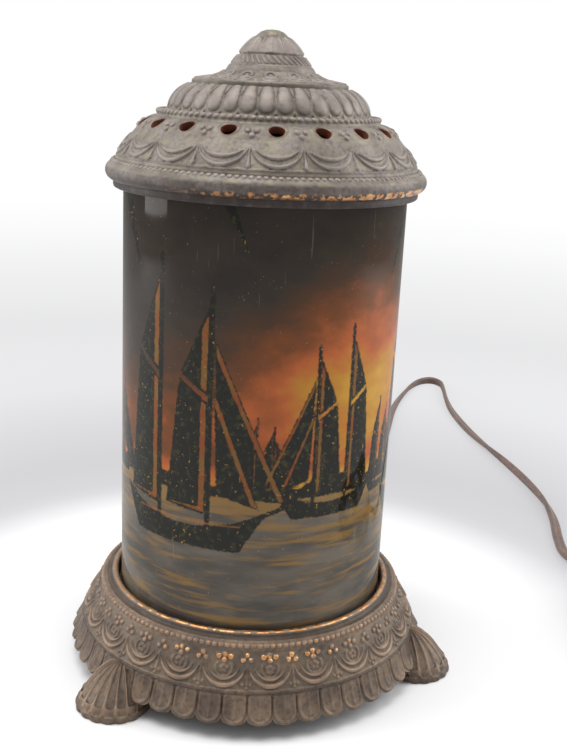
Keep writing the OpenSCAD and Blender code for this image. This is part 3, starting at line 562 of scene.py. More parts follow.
@dataclass(frozen=True)
class PatinatedCasting:
    """Cast zinc alloy under a bronze finish that has worn and gathered dust.

    A casting's skin is faintly pebbled and half matt. It is darker in the hollows, creases
    and vent holes, painted shade that is partly a darker finish, and paler on the tops of
    the relief, a painted highlight that is partly a rubbed finish. Pale dust lies in patches
    in the hollows, and copper and brass colours show where hands rub it.
    """

    name: str
    ground: str
    brown: str
    # tops: the paler colour of the relief's tops, a painted highlight that is partly a rubbed finish
    tops: str
    dust: str
    dustiness: float
    copper: str = "#ad784c"
    gold: str = "#c39665"
    # dark: near-black where the layer dark lies, painted shade that is partly a darker finish
    dark: str = "#261d1a"
    rust: str = "#8a4d37"

    def build(self) -> bpy.types.Material:
        """The piece's layers relief, wear, dark and rust place the other colours."""
        p = Paint(self.name)
        grit = p.grain(0.7, 2)
        relief, wear, dark, rust = (p.layer(n) for n in ("relief", "wear", "dark", "rust"))
        bare = p.mix(p.level(p.grain(9, 4), 0.35, 0.65), srgb(self.ground), srgb(self.brown))
        speck = p.level(p.grain(1.6, 3), 0.42, 0.7)
        bare = p.mix(p.sum("MULTIPLY", speck, 0.45), bare, srgb(self.brown), "MULTIPLY")
        # Paler tops of the relief: painted highlight, partly a rubbed finish
        raised = p.sum(
            "MULTIPLY", p.level(relief, 0.35, 0.95), p.level(p.grain(4, 3), 0.28, 0.6, 0.45, 0.95)
        )
        bare = p.mix(raised, bare, srgb(self.tops))
        hollow = p.sum("MULTIPLY", p.level(relief, 0.4, 0.1), p.level(p.grain(4.5, 4), 0.36, 0.66))
        dusty = p.mix(p.sum("MULTIPLY", hollow, self.dustiness), bare, srgb(self.dust))
        # Near-black where the layer dark lies: painted shade in hollows, creases and vents, partly a darker
        # finish
        painted = p.mix(
            p.sum("MULTIPLY", dark, p.level(p.grain(5, 4), 0.25, 0.55, 0.7, 1.0)), dusty, srgb(self.dark)
        )
        painted = p.mix(
            p.sum("MULTIPLY", rust, p.level(p.grain(2.5, 3), 0.3, 0.6, 0.5, 1.0)), painted, srgb(self.rust)
        )
        rubbed = p.level(p.sum("MULTIPLY", wear, p.level(p.grain(2.4, 3), 0.33, 0.6)), 0.3, 0.75)
        shining = p.mix(p.level(p.grain(3.5, 3), 0.42, 0.62), srgb(self.copper), srgb(self.gold))
        p.set(
            Base_Color=p.mix(rubbed, painted, shining),
            Metallic=p.level(rubbed, 0, 1, 0.35, 0.95),
            Roughness=p.sum(
                "SUBTRACT", p.level(grit, 0.2, 0.8, 0.44, 0.62), p.sum("MULTIPLY", rubbed, 0.2)
            ),
            Normal=p.bump(grit, 0.05, p.bump(p.grain(2.2, 4), 0.12)),
        )
        return p.material


@dataclass(frozen=True)
class PlainMetal:
    """A worked metal: drawn, turned, spun or stamped, with the marks of that work.

    Drawing and turning leave fine lines along one axis, and air dulls it in soft blotches.
    """

    name: str
    colour: str
    tarnish: str
    roughness: float
    line: float = 0.5
    stretch: tuple[float, float, float] = (14, 14, 1)
    tarnished: float = 0.5
    depth: float = 0.01

    def build(self) -> bpy.types.Material:
        """Lines are line millimetres apart, and stretch is how much longer each axis draws them."""
        p = Paint(self.name)
        lines = p.grain(self.line, 2, self.stretch)
        bloom = p.level(p.grain(6, 4), 0.4, 0.68)
        p.set(
            Base_Color=p.mix(
                p.sum("MULTIPLY", bloom, self.tarnished), srgb(self.colour), srgb(self.tarnish)
            ),
            Metallic=1.0,
            Roughness=p.sum(
                "ADD", p.level(
                    lines, 0.3, 0.7, self.roughness - 0.06, self.roughness + 0.06
                ), p.sum("MULTIPLY", bloom, 0.15)
            ),
            Normal=p.bump(lines, self.depth),
        )
        return p.material


@dataclass(frozen=True)
class Moulded:
    """A moulded or pressed non-metal: phenolic, urea, rubber, fibre or paper.

    Flow marks vary its colour a little, its skin is lightly pebbled, and dust dulls it.
    """

    name: str
    colour: str
    vein: str
    roughness: float
    pebble: float = 0.5
    depth: float = 0.01
    veins: float = 0.35
    coat: float = 0.0
    ior: float = 1.5

    def build(self) -> bpy.types.Material:
        """Pebbles are pebble millimetres across."""
        p = Paint(self.name)
        flow = p.level(p.grain(7, 4, (1, 3, 1)), 0.38, 0.66)
        skin_grain = p.grain(self.pebble, 2)
        p.set(
            Base_Color=p.mix(p.sum("MULTIPLY", flow, self.veins), srgb(self.colour), srgb(self.vein)),
            Roughness=p.sum(
                "ADD", p.level(
                    skin_grain, 0.3, 0.7, self.roughness - 0.05, self.roughness + 0.05
                ), p.sum("MULTIPLY", flow, 0.06)
            ),
            IOR=self.ior,
            Coat_Weight=self.coat,
            Coat_Roughness=0.12,
            Normal=p.bump(skin_grain, self.depth),
        )
        return p.material


@dataclass(frozen=True)
class BlownGlass:
    """Clear blown glass of a bulb: see-through, with a faint ripple."""

    name: str = "blown_clear_glass"

    def build(self) -> bpy.types.Material:
        """Ripples are about 14 mm long and almost flat."""
        p = Paint(self.name)
        haze = p.grain(10, 3)
        p.set(
            Base_Color=p.mix(p.level(haze, 0.35, 0.7), srgb("#f2f3ee"), srgb("#e2e5df")),
            Roughness=p.level(haze, 0.3, 0.7, 0.03, 0.09),
            IOR=1.5,
            Transmission_Weight=1.0,
            Normal=p.bump(p.grain(14, 2), 0.03),
        )
        return p.material


@dataclass(frozen=True)
class PaintedGlass:
    """A glass cylinder painted on its inside with a bay at dusk, seen through the glass.

    The glass lays a hard gloss over the paint. The paint was brushed wet: colours run
    into each other in smoky clouds, water is drawn in level strokes, and the dark boats
    are laid on last, with small ochre touches. Fine specks and scratches mar the surface.
    """

    name: str = "reverse_painted_glass"

    def build(self) -> bpy.types.Material:
        """The piece's layers hold the glow, the boats, the lit strokes and the water."""
        p = Paint(self.name)
        glow, boats, lit, water, inside = (p.layer(n) for n in ("glow", "boats", "lit", "water", "inside"))
        smoky = p.stirred(glow, 0.55, 26, 5, (1, 1, 0.8))
        heat = p.stirred(smoky, 0.22, 7, 5, (2.2, 2.2, 1))
        sky = p.node(
            "ShaderNodeValToRGB",
            {0: heat},
            stops=[
                (0.0, "#2a2521"),
                (0.22, "#372f28"),
                (0.38, "#4a3323"),
                (0.54, "#6f3f20"),
                (0.72, "#a9582c"),
                (0.87, "#ad7a2a"),
                (1.0, "#bd8f36"),
            ],
        ).outputs[0]
        stroke = p.grain(2.6, 4, (9, 9, 1))
        deep = p.mix(p.level(p.grain(12, 4, (3, 3, 1)), 0.35, 0.7), srgb("#46423d"), srgb("#676056"))
        shine = p.level(p.sum("ADD", stroke, p.sum("MULTIPLY", glow, 0.35)), 0.52, 0.74)
        sea = p.mix(p.sum("MULTIPLY", shine, 0.7), deep, srgb("#8d6a31"))
        picture = p.mix(p.level(p.stirred(water, 2.4, 2.2, 3), -1.2, 1.2), sky, sea)
        body_edge = p.stirred(boats, 1.6, 1.4, 3)
        hull = p.mix(p.level(p.grain(2.6, 3), 0.5, 0.72), srgb("#1d1d19"), srgb("#37351f"))
        fleck = p.level(p.grain(1.5, 2), 0.66, 0.74)
        hull = p.mix(p.sum("MULTIPLY", fleck, 0.8), hull, srgb("#a5812f"))
        picture = p.mix(p.level(body_edge, 0.5, -0.3), picture, hull)
        lit_edge = p.stirred(lit, 1.1, 1.8, 3)
        ochre = p.mix(p.level(p.grain(9, 3), 0.4, 0.62), srgb("#93692f"), srgb("#a05526"))
        picture = p.mix(p.sum("MULTIPLY", p.level(lit_edge, 0.0, -0.6), 0.55), picture, ochre)
        dots = p.level(p.grain(1.1, 1), 0.735, 0.78)
        scratch = p.level(p.grain(0.9, 1, (1, 1, 22)), 0.74, 0.79)
        marks = p.sum("MULTIPLY", p.sum("MAXIMUM", dots, p.sum("MULTIPLY", scratch, 0.4)), 0.3)
        outer = p.mix(marks, picture, srgb("#a9a08e"))
        p.set(
            Base_Color=p.mix(inside, outer, srgb("#6d6255")),
            Roughness=p.level(p.grain(18, 3), 0.3, 0.7, 0.30, 0.42),
            Specular_IOR_Level=0.0,
            Coat_Weight=0.38,
            Coat_Roughness=0.05,
            Coat_IOR=1.5,
        )
        return p.material


@dataclass(frozen=True)
class PrintedFilm:
    """Thin celluloid printed with flames: tongues of red and yellow on a clear amber film."""

    name: str = "printed_celluloid_film"

    def build(self) -> bpy.types.Material:
        """Flames lean: the pattern's stretch along z is four times that round the drum."""
        p = Paint(self.name)
        tongue = p.grain(16, 4, (1, 1, 3.6))
        licked = p.stirred(tongue, 0.4, 5, 4, (1, 1, 3))
        colour = p.node(
            "ShaderNodeValToRGB",
            {0: licked},
            stops=[
                (0.34, "#7d1c12"), (0.44, "#c0381a"), (0.52, "#e07a24"), (0.6, "#f0b23a"), (0.7, "#f2d27a")
            ],
        ).outputs[0]
        p.set(
            Base_Color=colour,
            Roughness=p.level(p.grain(8, 2), 0.3, 0.7, 0.18, 0.3),
            IOR=1.49,
            Transmission_Weight=0.25,
            Normal=p.bump(p.grain(24, 2), 0.12),
        )
        return p.material


@dataclass(frozen=True)
class ExtrudedLead:
    """Flat two-core lead in brown rubber: satin, with a lighter bloom along its length."""

    name: str = "extruded_brown_lead"

    def build(self) -> bpy.types.Material:
        """UV runs round the lead in u and along it in v, 20 mm to a unit."""
        p = Paint(self.name)
        bloom = p.level(p.grain(9, 4), 0.36, 0.66)
        wipe = p.grain(
            0.25, 2, (1, 14, 1),
            p.node("ShaderNodeMapping", {"Vector": p.uv, "Scale": (6 * MM, 20 * MM, 1)}).outputs[0],
        )
        colour = p.mix(bloom, srgb("#4b3a34"), srgb("#695349"))
        p.set(
            Base_Color=p.mix(p.level(wipe, 0.45, 0.7, 0, 0.35), colour, srgb("#85705f")),
            Roughness=p.level(bloom, 0, 1, 0.42, 0.58),
            IOR=1.5,
            Normal=p.bump(wipe, 0.02),
        )
        return p.material


@dataclass
class Finishes:
    """Every material of the lamp, built once."""

    cap_metal: bpy.types.Material = field(init=False)
    base_metal: bpy.types.Material = field(init=False)

    def __post_init__(self) -> None:
        """Builds the materials, each named for its real material and how it was made."""
        self.cap_metal = PatinatedCasting(
            "patinated_cast_zinc_cap", ground="#7b726c", brown="#5a504a", tops="#877d76",
            dust="#948c76", dustiness=0.5,
        ).build()
        self.base_metal = PatinatedCasting(
            "patinated_cast_zinc_base", ground="#715f4e", brown="#52443a", tops="#8e7763",
            dust="#877b69", dustiness=0.32,
        ).build()
        self.painted_glass = PaintedGlass().build()
        self.film = PrintedFilm().build()
        self.lead = ExtrudedLead().build()
        self.bulb_glass = BlownGlass().build()
        self.zinc = PlainMetal("zinc_plated_rolled_steel", "#a9a8a2", "#7b756b", 0.42).build()
        self.brass = PlainMetal(
            "turned_tarnished_brass", "#b9965a", "#7a5c33", 0.36, stretch=(1, 1, 10)
        ).build()
        self.spun_brass = PlainMetal(
            "spun_lacquered_brass", "#c2a05c", "#86683a", 0.3, stretch=(10, 10, 1)
        ).build()
        self.copper = PlainMetal("rolled_copper_alloy", "#b9825a", "#7d553a", 0.3).build()
        self.aluminium = PlainMetal(
            "stamped_satin_aluminium", "#c6c7c6", "#9c9c99", 0.36, stretch=(10, 1, 1)
        ).build()
        self.cap_aluminium = PlainMetal(
            "pressed_bright_aluminium", "#cfcfcc", "#a3a09a", 0.28, tarnished=0.3
        ).build()
        self.wire = PlainMetal("drawn_steel_wire", "#97958f", "#6b655c", 0.38, stretch=(1, 1, 20)).build()
        self.needle = PlainMetal("ground_needle_steel", "#c9c9c8", "#a9a8a6", 0.16, tarnished=0.15).build()
        self.tungsten = PlainMetal("drawn_tungsten", "#5c5a58", "#44423f", 0.4).build()
        self.phenolic = Moulded(
            "moulded_brown_phenolic", "#2c1b14", "#472a1c", 0.24, pebble=1.2, coat=0.3
        ).build()
        self.bushing = Moulded("moulded_black_bushing", "#171513", "#26221f", 0.55).build()
        self.fibre = Moulded(
            "vulcanised_grey_fibre", "#7b654b", "#5d4935", 0.8, pebble=0.4, depth=0.04
        ).build()
        self.urea = Moulded("moulded_ivory_urea", "#d9cba5", "#c2ac7d", 0.3, pebble=1.2, coat=0.2).build()
        self.rubber = Moulded(
            "moulded_brown_rubber", "#33261f", "#4a3a30", 0.6, pebble=0.6, depth=0.02
        ).build()
        self.paper = Moulded(
            "paper_covered_tie", "#2e2d2b", "#45423d", 0.85, pebble=0.3, depth=0.05
        ).build()


# ---------------------------------------------------------------- camera and stage


@dataclass
class Studio:
    """The photograph's viewpoint and a plain pale studio with soft light."""

    focal: float = 1044.67
    stand_off: float = 426.6
    height: float = 246.9
    pitch: float = 16.04
    yaw: float = 1.447
    roll: float = 2.784
    floor_half: float = 4000.0
    ambient: float = 0.42

    def camera(self) -> None:
        """Sets the camera: yaw towards +X, then pitch down, then roll, focal length in pixels."""
        yaw, pitch, roll = (math.radians(a) for a in (self.yaw, self.pitch, self.roll))
        ahead = Vector((math.sin(yaw) * math.cos(pitch), math.cos(yaw) * math.cos(pitch), -math.sin(pitch)))
        right = Vector((math.cos(yaw), -math.sin(yaw), 0))
        up = right.cross(ahead)
        side = right * math.cos(roll) + up * math.sin(roll)
        over = up * math.cos(roll) - right * math.sin(roll)
        data = bpy.data.cameras.new("photo_view")
        data.sensor_width = 36.0
        data.lens = self.focal * data.sensor_width / PHOTO_H
        data.clip_start, data.clip_end = 0.01, 50.0
        cam = placed("photo_view", data)
        axes = Matrix((side, over, -ahead)).transposed().to_4x4()
        cam.matrix_world = Matrix.Translation((0, -self.stand_off * MM, self.height * MM)) @ axes
        bpy.context.scene.camera = cam

    def floor(self) -> None:
        """A level pale sweep: a disc of rings. For the camera it glows with a painted tone: painted shade a
        little greyer at arm's length, and white afar.
        """
        radii = np.concatenate([[1.0], np.geomspace(60, self.floor_half, 24)])
        rings = around_axis(radii[:, None], np.zeros((len(radii), 1)), every(96)[None, :])
        low = rings[::-1] - np.array([0, 0, 4.0])
        obj = to_object("studio_floor", skin(np.concatenate([rings, low])), 30)
        p = Paint("matt_white_paper")
        far = p.node("ShaderNodeVectorMath", {0: p.place}, operation="LENGTH").outputs["Value"]
        painted_floor_shading = p.node(
            "ShaderNodeValToRGB",
            {0: p.sum("DIVIDE", far, self.floor_half * MM)},
            # Each stop: distance as a share of the floor's radius, and the painted tone seen there
            stops=[
                (0.0, "#ffffff"),
                (0.035, "#f4f4f6"),
                (0.046, "#c6c5c8"),
                (0.06, "#bfbec1"),
                (0.075, "#cac9cc"),
                (0.1, "#dddddf"),
                (0.185, "#ececed"),
                (0.325, "#fbfbfc"),
                (0.42, "#ffffff"),
            ],
        ).outputs[0]
        # The camera sees this share of the painted tone in place of the lit paper
        own = p.sum("ADD", p.level(far, 0.1, 0.205, 0.0, 0.8), p.level(far, 0.45, 0.7, 0.0, 0.2))
        seen = p.sum("MULTIPLY", own, p.node("ShaderNodeLightPath").outputs["Is Camera Ray"])
        paper = p.mix(p.sum("MULTIPLY", p.grain(40, 2), 0.03), srgb("#f4f4f5"), srgb("#d8d8da"))
        p.set(Base_Color=p.mix(seen, paper, srgb("#000000")), Roughness=0.9, Specular_IOR_Level=0.0)
        p.set(Emission_Color=painted_floor_shading, Emission_Strength=seen)
        obj.data.materials.append(p.material)

    def world(self) -> None:
        """Soft even light, and a white background for what the camera, gloss and glass see."""
        world = bpy.data.worlds.new("studio_light")
        bpy.context.scene.world = world
        world.use_nodes = True
        tree = world.node_tree
        tree.nodes.clear()
        path = add_node(tree, "ShaderNodeLightPath").outputs
        seen = add_node(
            tree, "ShaderNodeMath", {
                0: path["Is Camera Ray"], 1: path["Is Transmission Ray"]
            }, operation="MAXIMUM"
        ).outputs[0]
        seen = add_node(
            tree, "ShaderNodeMath", {0: seen, 1: path["Is Glossy Ray"]}, operation="MAXIMUM"
        ).outputs[0]
        strength = add_node(
            tree, "ShaderNodeMapRange", {"Value": seen, "To Min": self.ambient, "To Max": 1.0}
        ).outputs[0]
        back = add_node(tree, "ShaderNodeBackground", {"Color": srgb("#ffffff"), "Strength": strength})
        add_node(tree, "ShaderNodeOutputWorld", {"Surface": back.outputs[0]})

    def lamp(
        self, name: str, place: Sequence[float], aim: Sequence[float], width: float, height: float,
        power: float,
    ) -> None:
        """A soft box at place, facing aim, in millimetres and watts."""
        data = bpy.data.lights.new(name, "AREA")
        data.shape = "RECTANGLE"
        data.size, data.size_y = width * MM, height * MM
        data.energy = power
        obj = placed(name, data)
        start, end = Vector(place) * MM, Vector(aim) * MM
        facing = (end - start).to_track_quat("-Z", "Y").to_matrix().to_4x4()
        obj.matrix_world = Matrix.Translation(start) @ facing

    def build(self) -> None:
        """Camera, floor, world and three soft boxes."""
        self.camera()
        self.floor()
        self.world()
        self.lamp("top_box", (-150, -100, 1250), (0, 0, 100), 900, 900, 11.0)
        self.lamp("left_box", (-900, 60, 480), (0, 0, 130), 500, 900, 5.5)
        self.lamp("right_box", (900, 150, 520), (0, 0, 130), 500, 900, 7.0)
        settings = bpy.context.scene.view_settings
        settings.view_transform = "Standard"


# ---------------------------------------------------------------- the flat lead


@dataclass
class FlatLead:
    """The lead: out of the base, along the floor to the switch, and on in a coil to the plug."""

    finishes: Finishes
    width: float = 6.0
    thick: float = 3.0
    exit_turn: float = 160.0
    exit_r: float = 96.3
    exit_h: float = 13.4
    sleeve_in: float = 67.0
    switch_at: tuple[float, float, float] = (192.0, 22.0, 8.5)
    switch_half: float = 29.0
    coil_mid: tuple[float, float] = (232.0, -43.0)
    coil_r: float = 40.0
    coil_pitch: float = 6.8
    coil_low: float = 2.5
    coil_rise: float = 4.0
    coil_turns: float = 4.5
    climb: float = 0.5
    climb_dip: float = 3.0
    plug_at: tuple[float, float, float] = (272.0, -8.0, 11.0)
    # The route on the floor, as the CAD source has it: x, y and height
    run_points: tuple[tuple[float, float, float], ...] = (
        (37, 102, 13), (44, 121, 9.5), (51, 140, 5), (58, 160, 2), (66, 182, 1.5),
        (78, 220, 1.5), (88, 260, 1.5), (96, 300, 1.5), (104, 340, 1.5),
        (112, 370, 1.5), (122, 398, 1.5), (131, 418, 1.5), (140, 430, 1.5),
        (149, 433, 1.5), (155, 424, 1.5), (155, 408, 1.5), (153, 380, 1.5),
        (153, 350, 1.5), (157, 310, 1.5), (163, 275, 1.5), (171, 235, 1.5),
        (177, 200, 1.5), (180, 170, 1.5), (179, 145, 1.5), (175, 120, 1.5),
        (173, 100, 2), (176, 86, 3.5), (184, 74, 6), (191, 61, 7.7), (192, 54, 8.5),
    )
    # How far the flat lead has rolled on its edge: share of the run, and degrees
    rolls: tuple[tuple[float, float], ...] = (
        (0, 0), (0.2, 0), (0.3, 25), (0.42, 40), (0.5, 82), (0.56, 70), (0.62, 8),
        (0.68, 10), (0.76, 80), (0.82, 74), (0.88, 12), (0.93, 0), (1, 0),
    )
    # The lead inside the base: distance from the axis towards the exit, and height
    inner_points: tuple[tuple[float, float], ...] = (
        (67, 13.4), (62, 12.5), (48, 9), (34, 6), (22, 4.5), (12, 5), (5, 8.5), (1, 14),
    )

    def section(self) -> Array:
        """Half-round edges and a shallow groove down the middle of each flat side.

        Returns:
            (across, up) points: two lobes of circles, each three fifths of a turn.
        """
        r = self.thick / 2
        a = np.radians(np.linspace(-118, 118, 9))
        mid = self.width / 2 - r
        right = np.stack([mid + r * np.cos(a), r * np.sin(a)], -1)
        dent = np.array([[0.0, r * 0.72]])
        return np.concatenate([right, dent, -right, -dent])

    def sweep(self, line: Array, roll: Array) -> Shape:
        """The section carried along a line, its width level and turned by roll degrees.

        Returns:
            The tube. UV v counts the length, 20 mm to a unit.
        """
        ahead = np.gradient(line, axis=0)
        ahead /= np.linalg.norm(ahead, axis=1, keepdims=True)
        side = np.cross(ahead, [0, 0, 1.0])
        steep = np.linalg.norm(side, axis=1) < 0.2
        hint = around_axis(1.0, 0.0, self.exit_turn)
        side[steep] = np.cross(ahead[steep], hint)
        side /= np.linalg.norm(side, axis=1, keepdims=True)
        up = np.cross(side, ahead)
        a = np.radians(roll)[:, None]
        across, over = side * np.cos(a) + up * np.sin(a), up * np.cos(a) - side * np.sin(a)
        section = self.section()
        rings = line[:, None] + across[:, None] * section[None, :, :1]
        rings = rings + over[:, None] * section[None, :, 1:]
        tube = skin(rings)
        spans = len(line) - 1
        far = lengths(line) / 20
        tube.uvs[0][..., 1] = np.interp(tube.uvs[0][..., 1] * spans, np.arange(spans + 1), far)
        return tube

    def run_line(self) -> tuple[Array, Array]:
        """Centreline and roll from the base to the switch.

        The line rises to the half height of the rolled section where it lies on the
        floor: the root of (3 sin roll)^2 + (1.5 cos roll)^2.
        """
        x, y, z = self.switch_at
        start = around_axis(self.exit_r, self.exit_h, self.exit_turn)
        inside = around_axis(self.sleeve_in, self.exit_h, self.exit_turn)
        points = [
            inside, start, *self.run_points, (x, y + self.switch_half, z), (x, y + self.switch_half - 6, z)
        ]
        line = smooth_curve(points, 8)
        share = lengths(line) / lengths(line)[-1]
        keys = np.array(self.rolls)
        roll = np.interp(share, keys[:, 0], keys[:, 1])
        kernel = np.hanning(19)
        roll = np.convolve(np.pad(roll, 9, "edge"), kernel / kernel.sum(), "valid")
        half = np.hypot(
            self.width / 2 * np.sin(np.radians(roll)), self.thick / 2 * np.cos(np.radians(roll))
        )
        line[:, 2] = np.maximum(line[:, 2], half)
        return line, roll

    def coil_line(self) -> Array:
        """Centreline from the switch through the coil to the plug.

        The coil is a flat spiral inwards on the floor, half a turn of climb, and the
        same spiral outwards on top of it; the radius shrinks by the pitch for each turn.
        """
        x, y, z = self.switch_at
        px, py, pz = self.plug_at
        middle = self.coil_turns / 2
        u = np.linspace(0, self.coil_turns, int(self.coil_turns * 48) + 1)
        near = np.abs(u - middle) < self.climb / 2
        radius = self.coil_r - self.coil_pitch * np.minimum(u, self.coil_turns - u)
        radius -= np.where(near, self.climb_dip * np.cos(np.pi * (u - middle) / self.climb) ** 2, 0)
        height = self.coil_low + self.coil_rise * ease((u - middle) / self.climb + 0.5)
        a = np.pi + 2 * np.pi * u
        mx, my = self.coil_mid
        coil = np.stack([mx + radius * np.cos(a), my + radius * np.sin(a), height], -1)
        low = y - self.switch_half
        top = self.coil_low + self.coil_rise
        lead_in = [
            (x, low + 6, z), (x, low, z), (x, low - 6, z - 0.6),
            (
                x, (low + my) / 2, (z + self.coil_low) / 2 - 0.8
            ), (x, my + 6, self.coil_low + 0.2), tuple(coil[0]),
        ]
        lead_out = [
            tuple(coil[-1]), (px, my + 6, top + 0.2), (px, (my + py) / 2, (pz + top) / 2 - 0.8),
            (px, py - 6, pz - 0.6), (px, py, pz), (px, py + 4, pz),
        ]
        return np.concatenate([smooth_curve(lead_in, 6)[:-1], coil, smooth_curve(lead_out, 6)[1:]])

    def piece(self, name: str, line: Array, roll: Array, node: str) -> bpy.types.Object:
        """A stretch of lead along a line, rolled by roll degrees, for one CAD node."""
        return add_piece(name, self.sweep(line, roll), Body.STAND, self.finishes.lead, [node])

    def build(self) -> None:
        plug = SwitchAndPlug(self.finishes, self).build()
        line, roll = self.run_line()
        run = self.piece("lead_to_switch", line, roll, "cord_run")
        start = around_axis(self.exit_r, self.exit_h, self.exit_turn) * MM
        shown = line[np.linalg.norm(line - start / MM, axis=1).argmin() :]
        log.info("lead on show from the base to the switch: %.0f mm", lengths(shown)[-1])
        wound = self.coil_line()
        coil = self.piece("lead_to_plug", wound, np.zeros(len(wound)), "cord_coil")
        inner = np.array([around_axis(r, z, self.exit_turn) for r, z in self.inner_points])
        inner = np.concatenate([inner, [(0, 0, 22), (0, 0, 30), (0, 0, 43)]])
        thin = FlatLead(self.finishes, width=self.width - 0.4, thick=self.thick - 0.2)
        bent = smooth_curve(inner, 6)
        thin.piece("lead_inside_base", bent, np.zeros(len(bent)), "inner_cord")
        self.sleeve()

    def sleeve(self) -> None:
        """The strain relief: a ribbed rubber taper round the lead, from the casting outwards."""
        x = np.linspace(self.sleeve_in, self.exit_r + 0.4, 90)
        hem = 78.3
        t = np.clip((x - hem) / (self.exit_r - hem), 0, 1)
        half_w = 4.7 - (4.7 - self.width / 2 - 0.7) * t
        half_t = 4.7 - (4.7 - self.thick / 2 - 0.8) * t
        ribs = 0.22 * (np.cos((x - hem) * 2 * np.pi / 3.0) > 0.2) * (x > hem + 1)
        collar = 1.1 * ridge(x - hem - 0.8, 1.3)
        a = np.radians(every(40))[None, :]
        rings = np.stack(
            [
                np.broadcast_to(x[:, None], (len(x), 40)),
                (half_w + ribs + collar)[:, None] * np.cos(a),
                self.exit_h + (half_t + ribs + collar)[:, None] * np.sin(a),
            ],
            -1,
        )
        turn = math.radians(self.exit_turn - 90)
        c, s = math.cos(turn), math.sin(turn)
        shape = skin(rings).turned(np.array([[c, -s, 0], [s, c, 0], [0, 0, 1]]))
        add_piece("strain_relief", shape, Body.STAND, self.finishes.rubber, ["cord_sleeve"])


